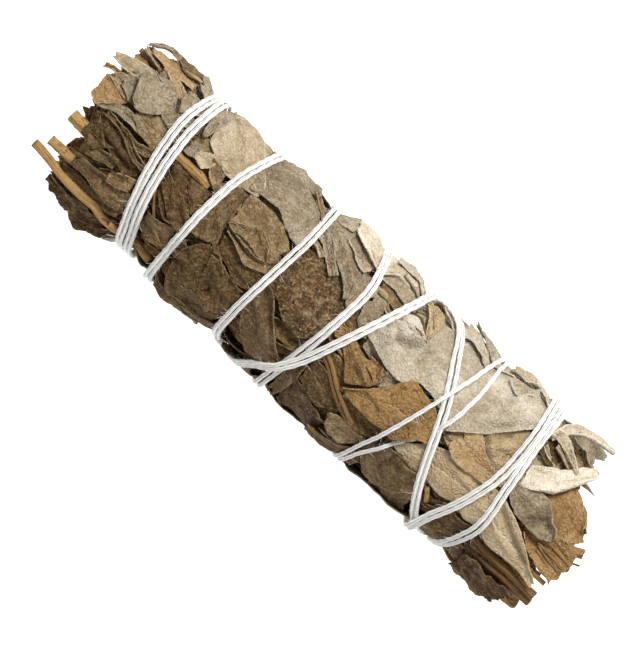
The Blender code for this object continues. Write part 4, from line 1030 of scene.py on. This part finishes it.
def end_leaves(draw, middle, side, count):
    """Leaf ends at a cut end of the bundle: curved blades round the axis at growing radii, each with
    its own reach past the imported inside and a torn, wavy rim."""
    sheets = []
    for number in range(count):
        radius = 3.0 + 10.6 * ((number + draw.uniform(0.0, 0.8)) / count) ** 0.75
        spread = HALF_SECTOR * draw.uniform(0.45, 0.95) * math.radians(1.0) * radius
        reach = draw.uniform(0.4, 3.6) * (1.0 if radius < 11.0 else 0.7)
        s, t = np.linspace(0.0, 1.0, 12)[:, None], np.linspace(-1.0, 1.0, 18)[None, :]
        seed = draw.uniform(1.0, 900.0)
        torn = 1.0 - 0.3 * t**2 - 0.55 * lumps(t * 3.2 + seed, 0.0 * t, seed) * s
        end = float(leaf_end(middle + draw.uniform(-0.8, 0.8) * HALF_SECTOR, side))
        x = end + side * (-4.0 + s * (3.0 + reach * torn))
        curl = draw.uniform(-0.5, 1.4)
        wave = 0.7 * creases(s * 1.3 + seed, t * 1.8, seed) + curl * s**2 * 0.8
        angle = middle + draw.uniform(-3.0, 3.0) + np.degrees(t * spread * (1.0 - 0.25 * s) / radius) * side
        points = on_stick(x, angle + 0.0 * x, np.clip(radius + wave, 1.5, 14.6))
        along, across = s * 6.0 + 0.0 * t, t * spread + 0.0 * s
        place = np.stack([along, across, spread + 0.0 * across], axis=-1)
        cover = np.stack(np.broadcast_arrays(s, 0.5 + 0.5 * t), axis=-1)
        shade = float(np.clip(0.45 * paleness(x.mean(), middle) + draw.uniform(0.0, 0.4), 0.0, 1.0))
        sheets.append({"points": points, "place": place, "cover": cover, "shade": shade})
    return sheets


def sprig_finish():
    """Pressed leaves of every age: the kept shade picks from dark brown, brown, tan, grey and cream, with
    veins and a net. Painted light lies over these: the kept crumple height moves the pick paler on ridges
    and darker in hollows, painted shade darkens the creases, crinkles and hollows, and painted highlights
    pale the facet tops and the edges."""
    made = Finish("pressed_leaves")
    place, spot, shade = made.kept("place"), made.object_place(), made.kept("shade", "Fac")
    fold = made.kept("fold", "Fac")
    along, across, half = made.parts(place)
    off_rib = across.math("ABSOLUTE")
    large = made.noise(spot, 170.0, 4.0, 0.65)
    medium = made.noise(spot, 900.0, 4.0, 0.7)
    fine = made.noise(spot, 2000.0, 2.0, 0.7)
    warp = made.noise(spot, 300.0, 2.0, 0.6)
    bent = made.swirled(spot, 420.0, 1.6)
    facets = made.edges(bent, 330.0)
    chips = made.edges(bent, 900.0)
    crease = (1.0 - facets.between(0.0, 0.05)) * warp.between(0.3, 0.55)
    crinkle = (1.0 - chips.between(0.0, 0.09)) * medium.between(0.4, 0.6)
    # The crumple height in the pick is painted light: paler on ridges, darker in hollows.
    age = shade + (large - 0.5) * 0.5 + (medium - 0.5) * 0.35 + (fold - 0.5) * 0.3
    colour = made.blend(age.between(0.0, 0.3), tone(106, 77, 43), tone(154, 122, 78))
    colour = made.blend(age.between(0.3, 0.62), colour, tone(184, 158, 116))
    colour = made.blend(age.between(0.62, 0.95), colour, tone(206, 190, 158))
    cells = made.edges(spot, 1500.0)
    colour = made.blend((1.0 - cells.between(0.0, 0.2)) * 0.35, colour, tone(80, 57, 32))
    colour = made.blend(fine.between(0.5, 0.73) * 0.5, colour, tone(200, 176, 136))
    colour = made.blend(fine.between(0.5, 0.3) * 0.5, colour, tone(74, 52, 28))
    slant = (along - off_rib * 0.85 + warp * 1.4) / 2.3
    saw = slant.math("FRACT").math("SUBTRACT", 0.5).math("ABSOLUTE")
    vein = (1.0 - saw.between(0.0, 0.06)) * warp.between(0.35, 0.65)
    colour = made.blend(vein * 0.25, colour, tone(176, 148, 104))
    midrib = 1.0 - off_rib.between(0.12, 0.34)
    colour = made.blend(midrib * medium.between(0.35, 0.6) * 0.5, colour, tone(184, 150, 102))
    # Painted shade along the thin creases and crinkles.
    colour = made.blend(crease * 0.6, colour, tone(66, 46, 24))
    colour = made.blend(crinkle * 0.4, colour, tone(66, 46, 24))
    # Painted highlight on the raised facet tops.
    colour = made.blend(facets.between(0.22, 0.4) * 0.35, colour, tone(190, 162, 118))
    # Painted shade in the crumpled hollows.
    colour = made.blend(fold.between(0.45, 0.1) * 0.4, colour, tone(64, 45, 24))
    # Painted highlight: a thin pale band along the edges.
    edge_highlight = (off_rib / half + (fine - 0.5) * 0.16).between(0.9, 1.0) * warp.between(0.36, 0.6)
    colour = made.blend(edge_highlight * 0.5, colour, tone(190, 160, 112))
    height = cells.between(0.0, 0.3) * 0.3 + fine * 0.6 + medium * 0.9 + vein * -0.3 + midrib * -0.3
    return made.wear(colour, 0.88, height + facets * 2.2 + chips * 0.9, 0.3)


PRESSED = sprig_finish()
SPRIG_MIDDLES = [-50.0 + number * 2.0 * HALF_SECTOR for number in range(RING_SPRIGS)]
draw = np.random.default_rng(11)
for number, middle in enumerate(SPRIG_MIDDLES):
    node = f"leafy_sprig_{number + 1}"
    packed = core(middle, HALF_SECTOR, 5.3, 5.0 + number)
    make_piece(f"{node}_core", [packed], PRESSED, [node], thickness=0.0)
    sheets = pressed_leaves(draw, middle, 40)
    sheets += end_leaves(draw, middle, -1.0, 13)
    sheets += end_leaves(draw, middle, 1.0, 13)
    make_piece(f"{node}_leaves", sheets, PRESSED, [node], thickness=0.18)

# The woody stalks: dry square-ribbed stems of the sprigs, straw-coloured outside with a paler pith at
# the cut. They stick out at both ends, and a few lie bare on the surface between the leaves.


def away(angle):
    """Unit ways straight out from the axis at each angle."""
    turn = np.radians(angle)
    return np.stack([0.0 * turn, np.sin(turn), np.cos(turn)], axis=-1)


def tube(path, ahead, outward, radii, along, inside, shade):
    """A closed tube round a path: at each point the way ahead, an outward way made square to it, and
    their cross product span the ring, whose radius at each of its angles comes from radii."""
    out = outward - (outward * ahead).sum(1, keepdims=True) * ahead
    out /= np.linalg.norm(out, axis=1, keepdims=True)
    side = np.cross(out, ahead)
    count = radii.shape[1]
    phi = np.arange(count) / count * 2.0 * np.pi
    ring = np.cos(phi)[None, :, None] * out[:, None, :] + np.sin(phi)[None, :, None] * side[:, None, :]
    points = path[:, None, :] + radii[..., None] * ring
    points = np.concatenate([np.repeat(path[:1, None], count, 1), points,
                             np.repeat(path[-1:, None], count, 1)])
    along, phi = along[:, None], phi[None, :]
    place = np.stack(np.broadcast_arrays(along, phi, inside[:, None]), axis=-1)
    cover = np.stack(np.broadcast_arrays(along * 0.1, phi / (2.0 * np.pi)), axis=-1)
    return {"points": points, "place": place, "cover": cover, "shade": shade, "wrap": True}


def stem(path, outward, radius, seed, shade, flutes=4.0):
    """A stem along a path: ribbed by two cosines of the ring's angle, slightly lumpy along its length,
    and dished inwards at both cut ends round a paler pith. The dish keeps the end's way ahead."""
    phi = np.arange(20) / 20.0 * 2.0 * np.pi
    share = np.linspace(0.0, 1.0, len(path))[:, None]
    lumpy = 0.94 + 0.12 * lumps(share * 9.0 + seed, 0.0 * share, seed)
    ribs = 1.0 + 0.07 * np.cos(flutes * phi + seed) + 0.045 * np.cos((2.0 * flutes + 1.0) * phi + 2.0 * seed)
    radii = radius * 0.001 * ribs[None, :] * lumpy
    steps = np.gradient(path, axis=0)
    steps = np.concatenate([steps[:1], steps[:1], steps, steps[-1:], steps[-1:]])
    ahead = steps / np.linalg.norm(steps, axis=1, keepdims=True)
    along = np.concatenate([[0.0] * 3, np.linspace(0.0, 1.0, len(path)) * 30.0, [30.0] * 3])
    inside = np.concatenate([[0.0, 0.3, 0.6], np.ones(len(path)), [0.6, 0.3, 0.0]])
    first = (path[1] - path[0]) / np.linalg.norm(path[1] - path[0])
    last = (path[-1] - path[-2]) / np.linalg.norm(path[-1] - path[-2])
    dish = 0.0006
    path = np.concatenate([[path[0] + first * dish, path[0] + first * dish * 0.9], path,
                           [path[-1] - last * dish * 0.9, path[-1] - last * dish]])
    outward = np.concatenate([outward[:1], outward[:1], outward, outward[-1:], outward[-1:]])
    radii = np.concatenate([radii[:1] * 0.35, radii[:1] * 0.62, radii, radii[-1:] * 0.62, radii[-1:] * 0.35])
    return tube(path, ahead, outward, radii, along, inside, shade)


def stalk_finish():
    """Dry stem bark: straw to brown by the kept shade, with long dark and pale streaks that keep to one
    side of the stem, and a paler pith."""
    made = Finish("woody_stalk")
    place, spot, shade = made.kept("place"), made.object_place(), made.kept("shade", "Fac")
    _, phi, inside = made.parts(place)
    streaks = made.noise(made.stretched(place, (0.12, 2.6, 0.0)), 1.0, 3.0, 0.7)
    threads = made.noise(made.stretched(place, (0.3, 9.0, 0.0)), 1.0, 3.0, 0.7)
    blotch = made.noise(spot, 420.0, 3.0, 0.6)
    colour = made.blend(shade.between(0.2, 0.8), tone(126, 92, 54), tone(196, 154, 98))
    colour = made.blend(streaks.between(0.5, 0.62) * 0.8, colour, tone(94, 66, 36))
    colour = made.blend(threads.between(0.46, 0.3) * 0.6, colour, tone(222, 190, 138))
    colour = made.blend(threads.between(0.54, 0.7) * 0.6, colour, tone(110, 78, 42))
    colour = made.blend(blotch.between(0.55, 0.7) * 0.4, colour, tone(120, 86, 48))
    colour = made.blend((1.0 - inside.between(0.3, 0.8)) * 0.8, colour, tone(214, 196, 160))
    return made.wear(colour, 0.75, streaks + threads * 0.6, 0.25)


STALK = stalk_finish()


def seen_stalk(points, radius, depth, seed, shade, flutes=4.0):
    """A stem over the bundle through spots read from above. Each spot's angle is the one whose sine
    times the stem's own distance from the axis gives its y, found by repeating the division four times."""
    u, v = np.array(points, float).T
    x, y = SEEN_STEP * u, SEEN_STEP * (v - SEEN_MIDDLE)
    height = 14.0 + 0.0 * x
    for _ in range(4):
        angle = np.degrees(np.arcsin(np.clip(y / height, -0.99, 0.99)))
        height = bundle_radius(x, angle, 0.9, 4.0) - depth
    x, angle = spaced(np.stack([x, angle], axis=-1), 60).T
    path = on_stick(x, angle, bundle_radius(x, angle, 0.9, 4.0) - depth)
    return stem(path, away(angle), radius, seed, shade, flutes)


BARE_STALKS = {
    1: (
        (((-337, -64), (-300, -69), (-250, -70), (-210, -71), (-172, -73)), 0.75, 0.1, 1.0, 0.85, 3.0),
        (((337, -60), (300, -59), (260, -57), (225, -60)), 0.75, 1.1, 2.0, 0.35, 4.0),
        (((338, -68), (300, -67), (258, -66), (230, -68)), 0.72, 1.1, 3.0, 0.3, 4.0),
        (((329, -80), (310, -79), (285, -78)), 1.0, 1.6, 4.0, 0.45, 4.0),
        (((193, -63), (189, -57), (184, -51)), 0.42, 0.2, 5.0, 0.8, 4.0),
        (((-327, -51), (-312, -51), (-296, -51)), 0.85, 1.2, 6.0, 0.95, 4.0),
        (((-327, -18), (-312, -19), (-296, -20)), 1.1, 1.2, 7.0, 0.8, 4.0),
    ),
    2: (
        (((-222, 22), (-200, 22), (-179, 21)), 0.85, 0.3, 8.0, 0.75, 3.0),
        (((-262, 34), (-250, 18), (-240, 5), (-226, -8), (-216, -17), (-204, -32), (-194, -43), (-176, -54)),
         0.27, 0.2, 9.0, 0.9, 4.0),
        (((336, -44), (326, -44), (310, -44)), 0.42, 0.6, 10.0, 0.9, 4.0),
        (((345, 2), (338, -1), (322, -6), (300, -10)), 0.5, 1.0, 11.0, 0.65, 4.0),
        (((349, -7), (340, -11), (325, -12)), 0.17, 0.9, 12.0, 0.2, 4.0),
        (((343, -13), (330, -12), (304, -10)), 0.3, 0.3, 17.0, 0.7, 4.0),
        (((342, -22), (328, -20), (302, -18)), 0.25, 0.35, 18.0, 0.55, 4.0),
        (((340, -31), (326, -29), (306, -24)), 0.3, 0.4, 19.0, 0.6, 4.0),
        (((337, -26), (322, -24), (305, -20)), 0.15, 0.1, 20.0, 0.9, 4.0),
    ),
    3: (
        (((-316, 84), (-296, 83), (-262, 81)), 0.5, 0.6, 13.0, 0.75, 3.0),
        (((-322, 76), (-300, 75), (-264, 71)), 0.45, 0.7, 14.0, 0.6, 4.0),
    ),
}
for number, middle in enumerate(SPRIG_MIDDLES):
    sheets = []
    for points, radius, depth, seed, shade, flutes in BARE_STALKS.get(number + 1, ()):
        sheets.append(seen_stalk(points, radius, depth, seed, shade, flutes))
    for count in range(4):
        at = middle + draw.uniform(-0.7, 0.7) * HALF_SECTOR
        radius = draw.uniform(4.5, 11.5)
        reach = (leaf_end(at, -1.0) - draw.uniform(0.0, 1.2), leaf_end(at, 1.0) + draw.uniform(0.0, 2.2))
        end = reach[count % 2]
        back = end + (14.0 if count % 2 == 0 else -14.0)
        x = np.linspace(back, end, 30)
        lean = math.radians(draw.uniform(-6.0, 6.0))
        angles = at + np.degrees((x - back) * math.sin(lean) / radius)
        path = on_stick(x, angles, radius + 0.0 * x)
        thick, seed, shade = draw.uniform(0.35, 1.15), draw.uniform(1.0, 90.0), draw.uniform(0.3, 0.95)
        sheets.append(stem(path, away(angles), thick, seed, shade))
    node = f"leafy_sprig_{number + 1}"
    make_piece(f"{node}_stalks", sheets, STALK, [node], thickness=0.0)

# The middle sprig, which the ring is pressed round, and the loose twigs that lie on the leaves.
packed = core(0.0, 180.0 / 1.02, 0.4, 50.0)
make_piece("inner_sprig_core", [packed], PRESSED, ["inner_sprig"], thickness=0.0)
TWIGS = (
    ("loose_twig_1", ((18, -20), (34, -28), (52, -40), (72, -50), (90, -57), (106, -62)), 0.4, 0.0, 21.0,
     0.5),
    ("loose_twig_2", ((256, -84), (280, -82), (304, -78), (326, -82)), 0.45, 0.6, 23.0, 0.5),
)
for node, points, radius, depth, seed, shade in TWIGS:
    sheets = [seen_stalk(points, radius, depth, seed, shade)]
    if node == "loose_twig_1":
        sheets.append(seen_stalk([(u, v - 5) for u, v in points[:5]], 0.32, 0.1, 22.0, 0.35))
    make_piece(f"{node}_stem", sheets, STALK, [node], thickness=0.0)

# The cotton string: soft undyed yarn wound doubled, so each turn is two yarns side by side, each of
# three plies twisted together. It bears on the high leaves and bridges the hollows between them.
YARN_RADIUS = 0.36
PLY_LAY = 2.3


def string_height(angles, places):
    """The height of the string's middle over the axis: rays cast inwards find the highest leaf under
    each step, a running maximum bridges hollows as a taut string does, and averaging smooths it."""
    points, faces, first = [], [], 0
    for verts, quads in SHEETS:
        points.append(verts)
        faces.append(quads + first)
        first += len(verts)
    tree = BVHTree.FromPolygons(np.concatenate(points).tolist(), np.concatenate(faces).tolist())
    found = np.full(len(angles), 12.0)
    for shift in (-0.8, -0.4, 0.0, 0.4, 0.8):
        outside = on_stick(places + shift, angles, 30.0 + 0.0 * angles)
        inside = on_stick(places + shift, angles, 0.0 * angles)
        ways = inside - outside
        ways /= np.linalg.norm(ways, axis=1, keepdims=True)
        for k in range(len(angles)):
            hit = tree.ray_cast(outside[k], ways[k], 0.03)
            if hit[0] is not None:
                found[k] = max(found[k], 30.0 - hit[3] * 1000.0)
    reach = max(1, len(angles) // 320)
    taut = np.max([np.roll(found, k) for k in range(-reach, reach + 1)], axis=0)
    weights = np.hanning(4 * reach + 3)[1:-1]
    smooth = np.convolve(np.pad(taut, len(weights) // 2, mode="edge"), weights / weights.sum(), mode="valid")
    height = smooth[: len(found)] + 0.25
    below = turned(angles, 180.0)
    level = (AXIS[2] - 0.45) / np.cos(np.radians(np.clip(below, -40.0, 40.0)))
    near = np.clip((26.0 - np.abs(below)) / 10.0, 0.0, 1.0)
    height = height * (1.0 - near) + np.minimum(level, height + 3.0) * near
    for j in range(len(height)):
        last = max(0, j - len(height) // 21)
        if last:
            turn = turned(angles[:last], angles[j])
            gap = np.hypot(np.radians(turn) * ARC_RADIUS, places[:last] - places[j]).min()
            height[j] += 0.95 * math.exp(-((gap / 2.0) ** 2)) * (1.0 - near[j])
    return height


fine_angles, fine_x = wound(220)
coarse_angles, coarse_x = wound(120)
coarse_height = string_height(coarse_angles, coarse_x)
fine_height = np.interp(-fine_angles, -coarse_angles, coarse_height)
STRING_PATH = on_stick(fine_x, fine_angles, fine_height)
STRING_OUT = away(fine_angles)
STRING_WAY = np.gradient(STRING_PATH, axis=0)
STRING_WAY /= np.linalg.norm(STRING_WAY, axis=1, keepdims=True)
STRING_SIDE = np.cross(STRING_WAY, STRING_OUT)


def yarn_path(side, seed):
    """One yarn's middle: the string's path moved to its side by its own radius, and by a little more
    here and there. On one turn the second yarn parts from the first by a bell of 3 mm, and dives under
    the spotted leaf: a step down and a step up again, each a sigmoid of the winding angle."""
    share = np.linspace(0.0, 1.0, len(STRING_PATH))
    apart = 1.06 * YARN_RADIUS + 0.14 * lumps(share * 60.0, 0.0 * share, 2.0) ** 2
    turn = fine_angles + 360.0 * 8
    parting = np.exp(-(((turn - 5.0) / 42.0) ** 2))
    down = 1.0 / (1.0 + np.exp(np.clip((turn + 1.0) / 1.6, -30.0, 30.0)))
    up = 1.0 / (1.0 + np.exp(np.clip(-(turn + 34.0) / 2.5, -30.0, 30.0)))
    apart = apart + parting * (3.0 if side < 0 else 0.1)
    sunk = 1.5 * down * up if side < 0 else 0.0 * turn
    sway = 0.07 * (lumps(share * 420.0, 0.0 * share, seed) - 0.5)
    return STRING_PATH + (STRING_SIDE * (side * apart + sway)[:, None] - STRING_OUT * sunk[:, None]) * 0.001


YARNS = np.stack([yarn_path(1.0, 31.0), yarn_path(-1.0, 57.0)])


def yarn(path, seed):
    """One yarn: a ring of three lobes that turns once each lay of the plies, along its path."""
    length = np.concatenate([[0.0], np.cumsum(np.linalg.norm(np.diff(path, axis=0), axis=1))]) * 1000.0
    phi = np.arange(10) / 10.0 * 2.0 * np.pi
    lobes = np.cos(3.0 * phi[None, :] + length[:, None] / PLY_LAY * 2.0 * np.pi)
    thick = 1.0 + 0.14 * (lumps(length / 9.0, 0.0 * length, seed + 5.0) - 0.5)
    radii = 0.001 * YARN_RADIUS * thick[:, None] * (1.0 + 0.08 * lobes)
    ahead = np.gradient(path, axis=0)
    ahead /= np.linalg.norm(ahead, axis=1, keepdims=True)
    along = np.concatenate([length[:1], length, length[-1:]])
    return tube(path, ahead, STRING_OUT, radii, along, np.ones(len(along)), 0.5)


def cotton_finish():
    """Cotton yarn: near white and matt, with painted shade in the grooves between plies, which are a little
    warmer and darker.
    """
    made = Finish("cotton_yarn", 0.3)
    place, spot = made.kept("place"), made.object_place()
    along, phi, _ = made.parts(place)
    lay = (phi * 3.0 + along * (2.0 * math.pi / PLY_LAY)).math("COSINE")
    fibres = (phi * 15.0 + along * (10.0 * math.pi / PLY_LAY)).math("COSINE")
    loose = made.noise(spot, 2200.0, 3.0, 0.7)
    # Painted shade: the grooves between plies are darkened and warmed.
    colour = made.blend(lay.between(-1.0, 0.3), (0.8, 0.77, 0.7, 1.0), (0.94, 0.93, 0.9, 1.0))
    colour = made.blend(loose.between(0.55, 0.75) * 0.3, colour, (0.76, 0.72, 0.64, 1.0))
    height = lay * 0.3 + fibres * 0.14 + loose * 0.5
    return made.wear(colour, 0.9, height, 0.12)


COTTON = cotton_finish()
sheets = [yarn(YARNS[0], 31.0), yarn(YARNS[1], 57.0)]
make_piece("cotton_string_yarns", sheets, COTTON, ["cotton_string"], thickness=0.0)

# Cotton fuzz: fine fibre ends that stand out of the yarns all along. Near the table they turn up.
FIBRE_ROOT = 0.0003
FIBRE_RADIUS = 0.00002
LOW_ROOT = 0.0025
count = 2900
at = draw.integers(20, len(STRING_PATH) - 20, count)
around = draw.uniform(0.0, 2.0 * np.pi, count)
lean = draw.normal(0.0, 0.9, count)
long = draw.uniform(0.4, 1.7, count) ** 1.4 * 0.001
ring = np.cos(around)[:, None] * STRING_OUT[at] + np.sin(around)[:, None] * STRING_SIDE[at]
root = YARNS[draw.integers(0, 2, count), at] + ring * FIBRE_ROOT
way = ring + STRING_WAY[at] * lean[:, None]
way /= np.linalg.norm(way, axis=1, keepdims=True)
way[:, 2] = np.where(root[:, 2] < LOW_ROOT, np.abs(way[:, 2]), way[:, 2])
bend = np.cross(way, STRING_WAY[at])
across = bend / np.linalg.norm(bend, axis=1, keepdims=True)
upright = np.cross(across, way)
step = np.array([0.0, 0.1, 0.6, 1.0])[None, :, None]
sway = long * draw.normal(0.0, 0.45, count)
lines = root[:, None] + way[:, None] * long[:, None, None] * step + bend[:, None] * sway[:, None,
                                                                                         None] * step**2
lines[..., 2] = np.maximum(lines[..., 2], 0.0001)
spin = np.arange(3) / 3.0 * 2.0 * np.pi
thin = FIBRE_RADIUS * np.array([0.0, 1.0, 0.8, 0.0])[None, :, None]
section = np.cos(spin)[:, None] * across[:, None, None] + np.sin(spin)[:, None] * upright[:, None, None]
fuzz = []
for points in lines[:, :, None] + thin[..., None] * section:
    fuzz.append({"points": points, "place": np.ones(points.shape),
                 "cover": np.zeros((*points.shape[:2], 2)), "shade": 1.0, "wrap": True})
make_piece("cotton_string_fuzz", fuzz, COTTON, ["cotton_string"], thickness=0.0)

# The table: plain white. Light: one soft lamp from the +Y side, high up, and an even white sky.
bpy.ops.mesh.primitive_plane_add(size=1.6, location=(0.0, 0.0, -0.0002))
table = bpy.context.object
table.name = "table_top"
white = Finish("white_table")
white.skin.inputs["Base Color"].default_value = (0.9, 0.9, 0.9, 1.0)
white.skin.inputs["Roughness"].default_value = 0.9
white.skin.inputs["Emission Color"].default_value = (1.0, 1.0, 1.0, 1.0)
white.skin.inputs["Emission Strength"].default_value = 0.85
table.data.materials.append(white.material)

sky = bpy.data.worlds.new("sky")
bpy.context.scene.world = sky
sky.use_nodes = True
sky.node_tree.nodes["Background"].inputs["Color"].default_value = (1.0, 1.0, 1.0, 1.0)
sky.node_tree.nodes["Background"].inputs["Strength"].default_value = 0.6
lamp_data = bpy.data.lights.new("window", "AREA")
lamp_data.shape = "SQUARE"
lamp_data.size = 0.16
lamp_data.energy = 3.2
lamp = bpy.data.objects.new("window", lamp_data)
bpy.context.scene.collection.objects.link(lamp)
lamp.location = (0.03, 0.29, 0.48)
lamp.rotation_euler = (-lamp.location).to_track_quat("-Z", "Y").to_euler()

# The camera looks straight down, turned so that the stick runs from the upper left to the lower right.
ROLL = math.radians(42.6)
CAMERA_HEIGHT = 1.5
SEEN_WIDTH = 0.10304
camera_data = bpy.data.cameras.new("camera")
camera_data.sensor_fit = "HORIZONTAL"
camera_data.sensor_width = 36.0
camera_data.lens = 36.0 * CAMERA_HEIGHT / SEEN_WIDTH
camera = bpy.data.objects.new("camera", camera_data)
bpy.context.scene.collection.objects.link(camera)
camera.location = (-0.00126, -0.00092, CAMERA_HEIGHT + 0.022)
camera.rotation_euler = (0.0, 0.0, ROLL)
bpy.context.scene.camera = camera
bpy.context.scene.view_settings.view_transform = "Standard"
